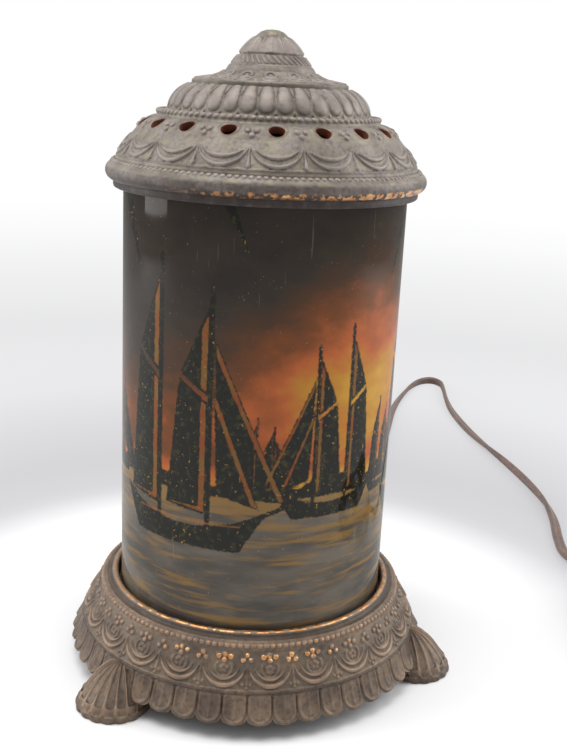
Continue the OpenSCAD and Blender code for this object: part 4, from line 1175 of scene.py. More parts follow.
@dataclass
class SwitchAndPlug:
    """What hangs on the lead: an in-line wheel switch, a plug and the coil's tie."""

    finishes: Finishes
    lead: FlatLead
    blade_gap: float = 12.7
    blade_root: float = 15.0
    blade_tip: float = 44.7
    blade_half: float = 3.15
    blade_corner: float = 1.3

    def wheel(self) -> Shape:
        """A knurled wheel: radius 14 with 60 round teeth, thinner towards its edge."""
        turns = every(480)
        teeth = 0.35 * np.abs(np.cos(np.radians(turns) * 30))
        rows = [
            (1.8, 2.5), (11.5, 2.5), (13.0, 2.1), (13.65, 1.2), (13.65, -1.2), (13.0, -2.1), (11.5, -2.5),
            (1.8, -2.5),
        ]
        tooth_share = np.array([0, 0, 0.4, 1, 1, 0.4, 0, 0])[:, None]
        r = np.array([row[0] for row in rows])[:, None] + tooth_share * teeth[None, :]
        z = np.broadcast_to(np.array([row[1] for row in rows])[:, None], r.shape)
        return skin(around_axis(r, z, turns[None, :]), closed=True).moved(self.lead.switch_at)

    def half(self, top: bool) -> Shape:
        """Half of the switch's case: a long pebble cut level at its middle.

        Its plan is half = 5.4 + 6.6 cos(90 y / 29)^0.45 wide, and each ring from the
        middle outwards is the plan drawn in by 1 - sqrt(1 - t^6) while it rises by t.
        """
        full = self.lead.switch_half
        y = full * np.sin(np.linspace(-np.pi / 2, np.pi / 2, 61))
        half_w = 5.4 + 6.6 * np.maximum(np.cos(np.pi / 2 * y / full), 0) ** 0.45
        side = np.stack([half_w, y], -1)
        plan = np.concatenate([side, -side])
        rise = np.linspace(0, 1, 12) ** 0.7
        draw = 1 - (1 - np.sqrt(np.clip(1 - rise**6, 0, 1))) * 0.16
        height = self.lead.switch_at[2] * rise
        sign = 1 if top else -1
        rings = [np.column_stack([plan, np.full(len(plan), sign * 0.02)])]
        for d, h in zip(draw, height):
            rings.append(
                np.column_stack(
                    [
                        plan[:, 0] * d, plan[:, 1] * (1 - (1 - d) * 0.6),
                        np.full(len(plan), sign * max(h, 0.02)),
                    ]
                )
            )
        return skin(np.array(rings)).moved(self.lead.switch_at)

    def plug_body(self) -> Shape:
        """A lathed plug along +Y with a finger grip of eight flutes round its middle."""
        profile = np.array(
            [
                (3.4, 0), (4.3, 0.4), (5.0, 5), (6.4, 9), (9.2, 14), (9.6, 17), (9.5, 21), (10.3, 23),
                (11, 24.6), (11, 28.8), (10.4, 29.8),
            ]
        )
        dense = resample(profile, 0.7)
        turns = every(160)
        grip = ridge(dense[:, 1] - 17, 6)[:, None] * np.abs(np.sin(np.radians(turns) * 4))[None, :] ** 4
        r = dense[:, :1] - 0.9 * grip
        rings = around_axis(r, dense[:, 1:] + 0 * r, turns[None, :])
        return skin(rings[..., [0, 2, 1]]).moved(self.lead.plug_at)

    def blades(self) -> Shape:
        """Two flat blades with rounded ends, each a rounded outline 1.5 mm thick."""
        out = []
        half, corner, root = self.blade_half, self.blade_corner, self.blade_root
        for side in (-self.blade_gap / 2, self.blade_gap / 2):
            a = np.radians(np.linspace(90, 0, 7))
            tip = np.stack([half - corner + corner * np.sin(a), self.blade_tip + corner * np.cos(a)], -1)
            edge = np.concatenate([[[half, root]], tip, tip[::-1] * [-1, 1], [[-half, root]]])
            rings = []
            for x, inset in ((-0.75, 0.25), (-0.55, 0), (0.55, 0), (0.75, 0.25)):
                shrunk = edge * (1 - inset / 12)
                rings.append(np.column_stack([np.full(len(edge), x + side), shrunk[:, 1], shrunk[:, 0]]))
            out.append(skin(np.array(rings)).moved(self.lead.plug_at))
        return join(out)

    def tie(self) -> Shape:
        """A paper-covered wire wound once round the turns, its ends twisted together."""
        mx, my = self.lead.coil_mid
        outer = self.lead.coil_r + self.lead.width / 2 + 1
        wound_in = self.lead.coil_pitch * self.lead.coil_turns / 2 + self.lead.climb_dip
        inner = self.lead.coil_r - wound_in - self.lead.width / 2 - 1
        top = self.lead.coil_low + self.lead.coil_rise + 1.5 + 0.8 + 0.4
        y0, y1 = my - outer - 0.4, my - inner + 0.4
        corner = 1.6
        loop = []
        for cy, cz, a0 in (
            (y1 - corner, top - corner, 0), (y0 + corner, top - corner, 90),
            (y0 + corner, 0.4 + corner, 180), (y1 - corner, 0.4 + corner, 270),
        ):
            loop += arc((cy, cz), corner, a0, a0 + 90, 6)
        loop_points = np.array(loop)
        d = np.roll(loop_points, -1, 0) - np.roll(loop_points, 1, 0)
        out = np.stack([d[:, 1], -d[:, 0]], -1) / np.linalg.norm(d, axis=1, keepdims=True)
        rings = []
        for across, over in (
            (-3, -0.15), (-2.6, 0.38), (-0.5, 0.3), (0, 0.4), (0.5, 0.3), (2.6, 0.38), (3, -0.15),
            (2.6, -0.38), (-2.6, -0.38),
        ):
            p = loop_points + out * over
            rings.append(np.column_stack([np.full(len(p), mx + across), p]))
        return skin(np.array(rings), closed=True)

    def build(self) -> list[bpy.types.Object]:
        """Makes the pieces.

        Returns:
            The switch's four pieces, then the plug, its blades and the tie.
        """
        f = self.finishes
        base = add_piece(
            "switch_case_base", self.half(False), Body.STAND, f.phenolic, ["switch_base"],
        )
        cover = add_piece(
            "switch_case_cover", self.half(True), Body.STAND, f.phenolic, ["switch_cover"],
        )
        wheel = add_piece(
            "switch_thumb_wheel", self.wheel(), Body.WHEEL, f.urea, ["switch_wheel"]
        )
        screw = softened("switch_case_screw", "switch_screw", Body.STAND, f.brass, 0.15)
        plug = add_piece(
            "plug_moulding", self.plug_body(), Body.STAND, f.phenolic, ["plug_body"]
        )
        blades = add_piece(
            "plug_contact_blades", self.blades(), Body.STAND, f.brass, ["plug_blades"]
        )
        tie = add_piece("coil_paper_tie", self.tie(), Body.STAND, f.paper, ["cord_tie"])
        return [base, cover, wheel, screw, plug, blades, tie]


# ---------------------------------------------------------------- castings

Relief = dict[str, Array]
CAST_SHARP = 50.0  # degrees: edges of the castings bent by less than this look round
FINE_STEPS = 1440  # steps round the finest ornament


def relief_lathe(
    outside: Sequence[Sequence[float]],
    inside: Sequence[Sequence[float]],
    columns: int,
    step: float,
    pattern: Callable[[Array, Array, Array], tuple[Array, Relief]],
) -> Shape:
    """Turns an outline round the axis and lifts a relief from its outside.

    Args:
        outside: Outline (radius, height) from the top down and outwards.
        inside: Outline from its end back to its start, which carries no relief.
        columns: Steps round the axis.
        step: Spacing of the rows along the outside, in millimetres.
        pattern: Takes the turns of the columns, and the distance along the outside and
            the radius of each row; returns the relief's height in millimetres and the
            layers relief (0 in hollows to 1 on tops), wear and dark, the painted shade.

    Returns:
        The closed surface with its layers.
    """
    line = resample(outside, step)
    back = np.asarray(inside, float)
    normal = outward(line)
    turns = every(columns)[None, :]
    height, layers = pattern(turns, lengths(line)[:, None], line[:, :1])
    r = np.concatenate(
        [line[:, :1] + normal[:, :1] * height, np.broadcast_to(back[:, :1], (len(back), columns))]
    )
    z = np.concatenate(
        [line[:, 1:] + normal[:, 1:] * height, np.broadcast_to(back[:, 1:], (len(back), columns))]
    )
    # Default layers, and those of the plain inside rows: there dark is painted shade on the inner faces
    plain = {"relief": 0.3, "wear": 0.0, "dark": 0.3, "rust": 0.0}
    full = {
        n: np.concatenate(
            [np.broadcast_to(layers.get(n, v), height.shape), np.full((len(back), columns), v)]
        )
        for n, v in plain.items()
    }
    return skin(around_axis(r, z, turns), closed=True, layers=full)


def cast_piece(name: str, shape: Shape, body: Body, metal: bpy.types.Material) -> bpy.types.Object:
    """A part of the cap's or the base's casting, which stands for that casting's node."""
    node = "cap_casting" if body is Body.CAP else "base_casting"
    return add_piece(name, shape, body, metal, [node], CAST_SHARP)


def across(turns: Array, count: int, first: float, radius: Array) -> Array:
    """Millimetres round the surface from the middle of the nearest of count sectors."""
    return np.radians(in_sector(turns, count, first)) * radius


def highest(*heights: Array) -> Array:
    """The highest of several reliefs at each place."""
    return np.maximum.reduce(np.broadcast_arrays(*heights))


@dataclass
class CapCasting:
    """The cap: a rolled rim, a slope of swags under a ring of vents, gadroons and a bud."""

    finishes: Finishes
    vents: int = 18
    first_vent: float = 3.5
    vent_r: float = 49.3
    vent_z: float = 228.5
    vent_d: float = 6.0
    vent_lean: float = 40.0
    gadroons: int = 36
    step_beads: int = 150
    ring_beads: int = 98
    dome_foot: float = 24.0  # set when the dome's outline is known
    slope_foot: float = 24.3  # along the slope, from its start to its lower edge
    vent_up: float = 18.0  # along the slope, from that edge to the middles of the vents
    disc_r: float = 30.0
    arches: int = 16
    first_gadroon: float = -1.5
    petals: int = 8
    leaves: int = 14
    strands: int = 38
    worn_turn: float = 55.0  # where hands have rubbed the rim most

    def slope_pattern(self, turns: Array, along: Array, radius: Array) -> tuple[Array, Relief]:
        """Double crescents below each vent, hanging drops between them, and trefoils of beads."""
        s = self.slope_foot - along
        x = across(turns, self.vents, self.first_vent, radius)
        between = across(turns, self.vents, self.first_vent + 180 / self.vents, radius)
        swag = crescent(x, s, (10.4, 9.4), (12.35, 9.55))
        inner = crescent(x, s, (14.1, 9.7), (21.0, 14.7))
        hanging = np.maximum(drop(between, s, 9.5, 2.4, 0.35, 0.85), bead(between, s, 0, 1.9, 1.05))
        cluster = highest(
            *(bead(between, s, cx, cy, 1.25) for cx, cy in ((-1.6, 16.8), (1.6, 16.8), (0, 14.6)))
        )
        from_vent = np.hypot(x, s - self.vent_up)
        eye = ridge(from_vent - 3.45, 0.8)
        foot = ridge(s - 0.4, 0.5)
        height = highest(0.9 * swag, 0.9 * inner, 0.85 * hanging, 0.8 * cluster, 0.3 * eye, 0.4 * foot)
        inside_eye = ease((self.vent_d / 2 - from_vent) / 0.6)
        return height * (1 - inside_eye), {
            "relief": np.clip(height / 0.8, 0, 1),
            "wear": 0.25 * cluster * np.ones_like(height),
            # Painted shade round the vent holes
            "dark": 0.9 * inside_eye,
        }

    def slope(self) -> bpy.types.Object:
        """The sloping skirt with its vents cut through."""
        outside = [
            np.array([42.6, 230.9]), np.array([44.4, 230.7])
        ] + bow((45.1, 230.5), (52.4, 225.2), 0.9, 14)
        outside += bow((52.4, 225.2), (60.2, 214.2), 0.35, 22)[1:] + [np.array([60.2, 213.0])]
        inside = [(57.5, 212.7), (52.9, 214.0), (48.8, 226.2), (43.2, 227.9)]
        obj = to_object(
            "cap_swag_slope", relief_lathe(outside, inside, 1260, 0.37, self.slope_pattern), CAST_SHARP
        )
        lean = math.radians(self.vent_lean)
        axis = np.array([math.sin(lean), math.cos(lean)])
        drills = []
        for k in range(self.vents):
            turn = self.first_vent + k * 360 / self.vents
            t = np.linspace(-5, 5, 2)
            middle = around_axis(self.vent_r + axis[0] * t, self.vent_z + axis[1] * t, turn)
            side = around_axis(1.0, 0.0, turn + 90)
            up = np.cross(middle[1] - middle[0], side)
            up /= np.linalg.norm(up)
            a = np.radians(every(28))[:, None]
            circle = (side * np.cos(a) + up * np.sin(a)) * self.vent_d / 2
            drills.append(skin(middle[:, None] + circle[None]))
        drill = to_object("drills", join(drills), 40)
        cut = obj.modifiers.new("vents", "BOOLEAN")
        cut.operation, cut.object, cut.solver = "DIFFERENCE", drill, "MANIFOLD"
        result = bpy.data.meshes.new_from_object(obj.evaluated_get(bpy.context.evaluated_depsgraph_get()))
        obj.modifiers.clear()
        obj.data = result
        result.name = obj.name
        bpy.data.objects.remove(drill)
        self.rust_walls(result, axis)
        result.set_sharp_from_angle(angle=math.radians(CAST_SHARP))
        return mount(obj, Body.CAP, self.finishes.cap_metal, ["cap_casting"])

    def rust_walls(self, mesh: bpy.types.Mesh, axis: Array) -> None:
        """Colours the walls of the vents: the points that lie a vent's radius from its axis.

        Args:
            mesh: The slope, with its vents cut.
            axis: The direction of a vent's axis, as outward and upward shares.
        """
        points = np.empty(len(mesh.vertices) * 3)
        mesh.vertices.foreach_get("co", points)
        x, y, z = points.reshape(-1, 3).T / MM
        turn = np.radians(in_sector(np.degrees(np.arctan2(x, -y)), self.vents, self.first_vent))
        side, out = np.hypot(x, y) * np.sin(turn), np.hypot(x, y) * np.cos(turn) - self.vent_r
        away = np.hypot(side, out * axis[1] - (z - self.vent_z) * axis[0])
        wall = (away < self.vent_d / 2 + 0.02).astype(np.float32)
        dark = np.empty(len(wall), np.float32)
        mesh.attributes["dark"].data.foreach_get("value", dark)
        mesh.attributes["dark"].data.foreach_set("value", dark * (1 - wall))
        rust = mesh.attributes.get("rust") or mesh.attributes.new("rust", "FLOAT", "POINT")
        rust.data.foreach_set("value", wall)
        log.info("vent walls hold %d points", int(wall.sum()))

    def rim_pattern(self, turns: Array, along: Array, radius: Array) -> tuple[Array, Relief]:
        """A row of fine beads on the step above the plain rolled rim."""
        x = across(turns, self.step_beads, 0, radius)
        beads_at, roll_at, copper_at, edge_at = 2.3, 4.6, 9.9, 12.4  # along the outline
        beads = bead(x, along, 0, beads_at, 1.15)
        rolled = ease((along - roll_at) / 2.4)
        edge = ease((along - edge_at) / 0.6)
        lower = ease(1.3 - np.abs(along - copper_at) / 2.2)
        front = 0.38 + 0.58 * np.cos(np.radians(turns - self.worn_turn))
        height = 0.5 * beads
        return height, {
            "relief": np.clip(0.05 + beads + 0.42 * rolled, 0, 1),
            "wear": lower * front + 0 * height,
            # The rolled rim and its lower part darker: painted shade where the rim faces sideways and down,
            # partly a darker finish
            "dark": 0.35 * rolled + 0.5 * ease((along - 8.0) / 1.5) + 0.1 * edge + 0 * height,
        }

    def rim(self) -> bpy.types.Object:
        """The beaded step, the rolled rim and the plain lip that sits outside the glass."""
        outside = [(59.9, 214.7), (60.0, 213.6), (61.1, 213.4), (62.2, 212.6)]
        outside += arc((60.3, 209.3), 3.8, 44, -79, 30) + [
            (61.0, 205.2), (61.0, 203.6), (60.8, 203.1), (60.4, 202.9), (58.5, 202.9)
        ]
        inside = [(58.5, 208.3), (52.0, 208.3), (52.0, 211.3), (52.6, 213.4), (58.0, 214.4)]
        shape = relief_lathe(outside, inside, FINE_STEPS, 0.34, self.rim_pattern)
        return cast_piece("cap_rolled_rim", shape, Body.CAP, self.finishes.cap_metal)

    def crown_pattern(self, turns: Array, along: Array, radius: Array) -> tuple[Array, Relief]:
        """Arches on the disc, gadroons down the dome and a ring of beads at its foot."""
        leaf_x = across(turns, self.arches, 0, radius)
        gap_x = across(turns, self.arches, 180 / self.arches, radius)
        leaf_y = self.disc_r - radius
        face = ease((8.2 - along) / 0.5)
        arch = ridge(np.hypot(leaf_x, leaf_y - 3.6) - 3.0, 0.6)
        arch = highest(arch, bead(leaf_x, leaf_y, 0, 3.4, 1.2), bead(gap_x, leaf_y, 0, 2.0, 1.0))
        y = self.dome_foot - along
        x = across(turns, self.gadroons, self.first_gadroon, radius)
        half = np.radians(4.6 - 1.3 * ease((y - 5) / 8)) * radius
        d = np.hypot(x, np.minimum(y - 3.6, 0))
        on_dome = ease((y + 0.2) / 0.3) * ease((13.6 - y) / 0.8)
        lobe = ridge(d, half)
        gap = across(turns, self.gadroons, self.first_gadroon + 180 / self.gadroons, radius)
        dart = ridge(gap, np.clip((y - 6.0) / 7 * 1.1, 0.001, 1.1)) * ease((y - 6.0) / 2)
        wedge = np.clip(1 - np.abs(gap) / np.clip(1.5 - y, 0.01, 2), 0, 1) * ease((y - 0.1) / 0.2)
        dome = on_dome * highest(0.72 * lobe, 0.5 * dart, 0.5 * wedge)
        ring = bead(across(turns, self.ring_beads, 0, radius), along, 0, self.dome_foot + 3.9, 1.3)
        ring = ring * ease((along - self.dome_foot - 2.6) / 0.3)
        height = highest(face * 0.55 * arch, dome, 0.6 * ring)
        return height, {
            "relief": np.clip(highest(face * (0.2 + arch), dome / 0.8, ring), 0, 1),
            "wear": 0 * height,
            # A darker band at the disc's edge: painted shade under its lip
            "dark": 0.3 * ease((along - 8.0) / 0.4) * ease((10.2 - along) / 0.4) + 0 * height,
        }

    def crown(self) -> bpy.types.Object:
        """The gadrooned dome between the disc and the ring of beads."""
        outside = [
            (22.4, 246.4), (30.0, 245.1), (30.6, 244.9), (30.85, 244.4), (30.8, 243.3), (31.3, 243.0)
        ]
        outside += bow((31.4, 243.0), (39.9, 233.5), 1.8, 24)
        self.dome_foot = float(lengths(np.asarray(outside))[-1])
        outside += [(40.4, 233.1), (42.2, 232.9)] + arc((43.3, 232.0), 0.9, 110, -30, 6) + [
            (44.4, 231.0), (45.0, 230.4), (45.1, 229.6)
        ]
        inside = [(43.4, 228.0), (37.8, 228.8), (36.3, 234.5), (29.8, 241.1), (22.2, 243.9)]
        shape = relief_lathe(outside, inside, 1224, 0.42, self.crown_pattern)
        return cast_piece("cap_gadroon_crown", shape, Body.CAP, self.finishes.cap_metal)

    def finial(self) -> bpy.types.Object:
        """A bud of overlapping petals over a roped band on a plain flare, with a smooth button."""
        outside = [(0.02, 264.5), (2.4, 264.3), (4.4, 263.6), (5.8, 262.5), (6.5, 261.4), (6.7, 260.9)]
        outside += bow((6.8, 260.8), (12.1, 255.2), 0.4, 12) + bow((12.6, 254.8), (15.5, 251.3), 0.1, 6)
        outside += bow((16.3, 251.0), (17.8, 248.7), 0.1, 6)
        outside += bow((18.2, 248.3), (22.8, 246.3), -0.3, 6)[1:] + [(23.1, 245.4)]
        line = resample(outside, 0.3)
        normal = outward(line)
        columns = 480
        turns = every(columns)[None, :]
        r, z = line[:, :1], line[:, 1:]
        petal_low, petal_tip, rope_low, rope_top = 255.0, 261.6, 251.1, 254.6  # heights
        up = np.clip((z - petal_low) / (petal_tip - petal_low), 0, 1)
        on = ease((z - 254.9) / 0.4) * ease((262.3 - z) / 1.6)
        half = 180 / self.petals
        petals = 0.0
        for first, lift in ((0.0, 0.85), (half, 0.45)):
            x = np.abs(in_sector(turns, self.petals, first)) / half
            width = 1.1 * np.sqrt(np.clip(1 - up**3, 0, 1)) + 1e-6
            rib = 0.25 * np.exp(-((x / 0.12) ** 2)) + 0.2 * np.exp(-(((x / width - 0.85) / 0.12) ** 2))
            petal = lift * np.sqrt(np.clip(1 - (x / width) ** 2, 0, 1)) + rib
            petals = np.maximum(petals, petal * ease((1 - x / width) / 0.2))
        rope_on = ease((z - rope_low) / 0.3) * ease((rope_top - z) / 0.3)
        rope = np.abs(np.sin(np.radians(turns) * (self.strands / 2) + (z - rope_low) * 1.1)) * rope_on
        leaf_x, leaf_y = across(turns, self.leaves, 0, r), r - 20.5
        leaf = highest(
            ridge(np.hypot(leaf_x, leaf_y) - 2.1, 0.7), bead(leaf_x, leaf_y, 0, 0, 1.1)
        ) * ease((248.5 - z) / 0.2)
        height = on * petals * 0.9 + 0.6 * rope + 0.7 * leaf
        height = height * ease(r / 2.0)
        points = around_axis(r + normal[:, :1] * height, z + normal[:, 1:] * height, turns)
        back = np.array([(22.0, 244.4), (8.1, 250.6), (0.02, 258.5)])
        points = np.concatenate([points, around_axis(back[:, :1], back[:, 1:], turns)])
        plain = 0.5 * ease((250.9 - z) / 0.3) * ease((z - 248.6) / 0.3)
        relief = np.clip(np.concatenate([height + 0.1 + plain, np.zeros((3, columns))]), 0, 1)
        shape = skin(
            points, layers={"relief": relief, "wear": 0 * relief, "dark": 0 * relief, "rust": 0 * relief}
        )
        return cast_piece("cap_bud_finial", shape, Body.CAP, self.finishes.cap_metal)

    def build(self) -> None:
        """Makes the four overlapping pieces of the cap."""
        self.slope()
        self.rim()
        self.crown()
        self.finial()


@dataclass
class BaseCasting:
    """The base: a beaded collar, a field of swags, a skirt of tongues and three shell feet."""

    finishes: Finishes
    swags: int = 24
    first_swag: float = 7.8
    collar_beads: int = 160
    tongues: int = 48
    first_tongue: float = -3.0
    hem_r: float = 78.0
    field_foot: float = 16.6  # along the field, from its start to its lower edge
    worn_turn: float = 4.0  # where hands have rubbed the field most, and how far round
    worn_half: float = 40.0
    feet: tuple[float, ...] = (-44.0, 76.0, 196.0)
    apex_r: float = 71.5
    apex_z: float = 19.0
    lip_r: float = 14.5
    lip_out: float = 4.4
    lip_h: float = 3.9
    flutes: int = 9
    fan: float = 74.0

    def collar_pattern(self, turns: Array, along: Array, radius: Array) -> tuple[Array, Relief]:
        """A row of beads below the hollow that the glass stands in."""
        x = across(turns, self.collar_beads, 0, radius)
        ring_from, ring_to, beads_at = 6.6, 9.6, 15.2  # along the outline
        beads = bead(x, along, 0, beads_at, 1.1) * ease((along - 14.0) / 0.2)
        front = 0.55 + 0.45 * np.cos(np.radians(turns - 10))
        ring = ease((along - ring_from) / 0.6) * ease((ring_to - along) / 0.5)
        height = 0.6 * beads
        return height, {
            "relief": np.clip(beads + ring + 0.5 * ease((along - 12.0) / 0.4), 0, 1),
            "wear": 1.15 * ring * front + 0.6 * beads * front,
            # A darker hollow between the ring and the beads: painted shade
            "dark": 0.75 * ease((along - 9.7) / 0.5) * ease((11.9 - along) / 0.5) + 0 * height,
        }

    def collar(self) -> bpy.types.Object:
        """The upright collar round the glass and the ledge that it rests on."""
        outside = [
            (58.2, 30.2), (58.2, 36.4), (58.5, 37.1), (59.3, 37.5), (60.2, 37.3), (60.9, 36.7), (61.2, 35.9)
        ]
        outside += [(61.7, 35.3), (62.4, 35.1), (62.9, 35.3), (63.5, 35.3), (64.0, 34.8)]
        outside += arc((64.3, 33.4), 0.9, 75, -10, 5) + [(65.4, 32.6), (65.7, 32.0)]
        inside = [(62.5, 29.0), (61.9, 27.0), (50.0, 27.0), (50.0, 30.0)]
        shape = relief_lathe(outside, inside, FINE_STEPS, 0.3, self.collar_pattern)
        return cast_piece("base_beaded_collar", shape, Body.STAND, self.finishes.base_metal)

    def field_pattern(self, turns: Array, along: Array, radius: Array) -> tuple[Array, Relief]:
        """Three crescents with a floret in each, drops between, and bead clusters."""
        y = self.field_foot - along
        x = across(turns, self.swags, self.first_swag, radius)
        between = across(turns, self.swags, self.first_swag + 180 / self.swags, radius)
        swag = crescent(x, y, (9.7, 8.5), (12.1, 8.8))
        middle = crescent(x, y, (10.0, 6.1), (11.75, 6.3))
        inner = ridge(np.hypot(x, y - 8.7) - 3.2, 0.6) * ease((10.9 - y) / 0.6)
        petal = highest(
            *(bead(x, y, 1.2 * math.sin(a), 8.5 + 1.2 * math.cos(a), 0.95) for a in np.radians(every(5)))
        )
        floret = petal * (1 - 0.9 * bead(x, y, 0, 8.5, 0.55))
        hanging = highest(
            drop(between, y, 9.6, 3.4, 0.5, 1.0),
            bead(between, y, 0, 1.7, 0.9),
            bead(between, y, -1.5, 2.9, 0.85),
            bead(between, y, 1.5, 2.9, 0.85),
        )
        knobs = highest(
            *(bead(x, y, cx, cy, 1.25) for cx, cy in ((-2.3, 13.2), (2.3, 13.2), (0, 14.0), (0, 11.7))),
            *(bead(between, y, cx, cy, 1.2) for cx, cy in ((0, 13.8), (-1.5, 12.0), (1.5, 12.0))),
        )
        low_line = ridge(y - 0.3, 0.6)
        height = highest(
            0.95 * swag, 0.7 * middle, 0.5 * inner, 0.5 * floret, 0.6 * hanging, 0.75 * knobs,
            0.4 * low_line,
        )
        away = (turns + 180 - self.worn_turn) % 360 - 180
        front = np.exp(-((away / self.worn_half) ** 2))
        return height, {
            "relief": np.clip(height / 0.85, 0, 1),
            "wear": front * highest(1.15 * knobs, 0.45 * low_line, 0.36 * swag),
            # The plain ground between the ornaments a little darker: painted shade, partly a darker finish
            "dark": 0.2 * (height < 0.05) + 0 * height,
        }

    def field(self) -> bpy.types.Object:
        """The convex field between the collar and the skirt."""
        outside = bow((65.0, 32.9), (72.8, 18.8), 0.15, 30) + [np.array([73.0, 18.0])]
        inside = [(71.0, 17.6), (65.6, 23.8), (62.4, 27.0), (62.8, 30.0)]
        shape = relief_lathe(outside, inside, FINE_STEPS, 0.3, self.field_pattern)
        return cast_piece("base_swag_field", shape, Body.STAND, self.finishes.base_metal)

    def skirt(self) -> bpy.types.Object:
        """The scalloped skirt: each tongue has a raised border round a ribbed panel."""
        line = resample(
            [
                (72.2, 19.2), (72.7, 18.3), (73.3, 17.8)
            ] + bow((73.5, 17.3), (78.2, 7.4), -0.6, 16) + [(78.3, 7.0)],
            0.26,
        )
        along = lengths(line)
        columns = FINE_STEPS
        turns = every(columns)[None, :]
        share = (along / along[-1])[:, None]
        pitch_x = across(turns, self.tongues, self.first_tongue, self.hem_r)
        notch = 2.6 * np.clip(1 - np.sqrt(np.clip(1 - (pitch_x / 5.1) ** 2, 0, 1)), 0, 1) ** 0.9
        far = share * (along[-1] - notch)
        r, z = np.interp(far, along, line[:, 0]), np.interp(far, along, line[:, 1])
        normal = outward(line)
        nr, nz = np.interp(far, along, normal[:, 0]), np.interp(far, along, normal[:, 1])
        x = across(turns, self.tongues, self.first_tongue, r)
        y = along[-1] - far
        side, top = np.maximum(np.abs(x) - 1.4, 0), np.maximum(y - 9.8, 0)
        tip_up, tip_r, top_r = 4.9, 3.95, 2.55  # a tongue's round tip, and its upper corners
        d = np.where(y < tip_up, np.hypot(x, y - tip_up) - tip_r, np.hypot(side, top) - top_r)
        panel = ease((-0.1 - d) / 0.5) * (0.25 + 0.3 * np.exp(-((x / 0.8) ** 2)) * ease((y - 1.5) / 1.5))
        below = ease((far - 2.0) / 0.3)
        upper = 0.45 * ridge(far - 1.55, 0.55)
        sunk = 0.3 * below * ease((d - 0.5) / 0.3)
        height = below * np.maximum(0.55 * ridge(d, 0.8), panel) + upper - sunk
        hem_r, hem_z = r[-1:] - 2.0, z[-1:]
        r2, z2 = r + nr * height, z + nz * height
        back = np.array([(71.2, 17.0), (71.4, 18.6)])
        r2 = np.concatenate([r2, hem_r, np.broadcast_to(back[:, :1], (2, columns))])
        z2 = np.concatenate([z2, hem_z, np.broadcast_to(back[:, 1:], (2, columns))])
        relief = np.clip(0.8 * height + 0.1, 0, 1)
        # The groove under the field's edge and the inner faces darker: painted shade
        groove = ease((2.6 - far) / 0.6) * ease((far - 0.4) / 0.4)
        layers = {
            "relief": np.concatenate([relief, np.full((3, columns), 0.2)]),
            "wear": np.concatenate([0.25 * ridge(d, 0.75), np.zeros((3, columns))]),
            "dark": np.concatenate([0.6 * groove * np.ones_like(relief), np.full((3, columns), 0.6)]),
        }
        shape = skin(around_axis(r2, z2, turns), closed=True, layers=layers)
        return cast_piece("base_tongue_skirt", shape, Body.STAND, self.finishes.base_metal)

    def foot(self, turn: float) -> Shape:
        """A shell: concave flutes between narrow ribs that fan out from the apex to a lip.

        From the apex the edge is e = 4.4 cos(a) + sqrt(14.5^2 - 4.4^2 sin^2(a)) away in the
        direction a; at the share u of that way the top is 3.3 + 15.1 (1 - u^2.1) high.
        """
        columns = 280
        a = every(columns)
        rad = np.radians(a)
        edge = self.lip_out * np.cos(rad) + np.sqrt(self.lip_r**2 - (self.lip_out * np.sin(rad)) ** 2)
        signed = (a + 180) % 360 - 180
        fan = self.fan
        pitch = 2 * fan / self.flutes
        inside_fan = ease((fan + 2 - np.abs(signed)) / 3)
        v = np.abs(((signed + fan) % pitch) / pitch - 0.5) * 2
        rib = np.exp(-(((1 - v) / 0.2) ** 2)) * ease((fan + 4 - np.abs(signed)) / 3)
        hollow = (1 - v**2) * inside_fan
        u = np.concatenate([[0.004], np.linspace(0.03, 1, 56)])[:, None]
        reach = edge * (0.985 + 0.035 * hollow)
        rise = self.lip_h - 0.6 + (self.apex_z - self.lip_h) * (1 - u**2.1) * np.ones((1, columns))
        grow = np.clip(u * 1.5, 0, 1)
        flute = ease((0.94 - u) / 0.05) + 0.5 * ease((u - 0.95) / 0.03)
        fluted = rise - 1.25 * hollow * grow * flute
        top_z = fluted + 0.5 * rib * grow + 0.35 * ridge(u - 0.94, 0.04) * inside_fan
        out = u * reach
        lip = np.radians(np.linspace(0, 90, 7))[1:, None]
        lip_z = top_z[-1:] - (1 - np.cos(lip)) * 1.6
        lip_out = out[-1:] + np.sin(lip) * 0.9
        wall = np.array([[0.35], [0.12]]) * (top_z[-1:] - 1.6)
        low_out = out[-1:] + np.array([[0.8], [0.5]])
        sole_out = np.concatenate([out[-1:] - 0.3, out[-1:] * 0.5, out[-1:] * 0.01])
        z = np.concatenate([top_z, lip_z, wall, np.zeros((3, columns))])
        d = np.concatenate([out, lip_out, low_out, sole_out])
        lx, ly = d * np.sin(rad), d * np.cos(rad)
        t = math.radians(turn)
        east = (self.apex_r + ly) * math.sin(t) + lx * math.cos(t)
        south = (self.apex_r + ly) * math.cos(t) - lx * math.sin(t)
        rings = np.stack([east, -south, z], -1)
        rest = (len(z) - len(u), columns)
        relief = np.concatenate([0.6 - 0.6 * hollow * grow * flute + 0.5 * rib, np.full(rest, 0.4)])
        wear = np.concatenate([0.3 * rib * ease((u - 0.5) / 0.3), np.full(rest, 0.15)])
        return skin(rings, layers={"relief": np.clip(relief, 0, 1), "wear": wear, "dark": 0 * wear})

    def build(self) -> None:
        """Makes the collar, the field, the skirt and the three feet."""
        self.collar()
        self.field()
        self.skirt()
        for name, turn in zip(("left", "right", "rear"), self.feet):
            cast_piece(f"shell_foot_{name}", self.foot(turn), Body.STAND, self.finishes.base_metal)


# ---------------------------------------------------------------- glass and rotor


def segment(x: Array, y: Array, start: Sequence[float], end: Sequence[float]) -> Array:
    """Distance from the points (x, y) to a straight line from start to end."""
    dx, dy = end[0] - start[0], end[1] - start[1]
    t = np.clip(((x - start[0]) * dx + (y - start[1]) * dy) / (dx * dx + dy * dy), 0, 1)
    return np.hypot(x - start[0] - dx * t, y - start[1] - dy * t)


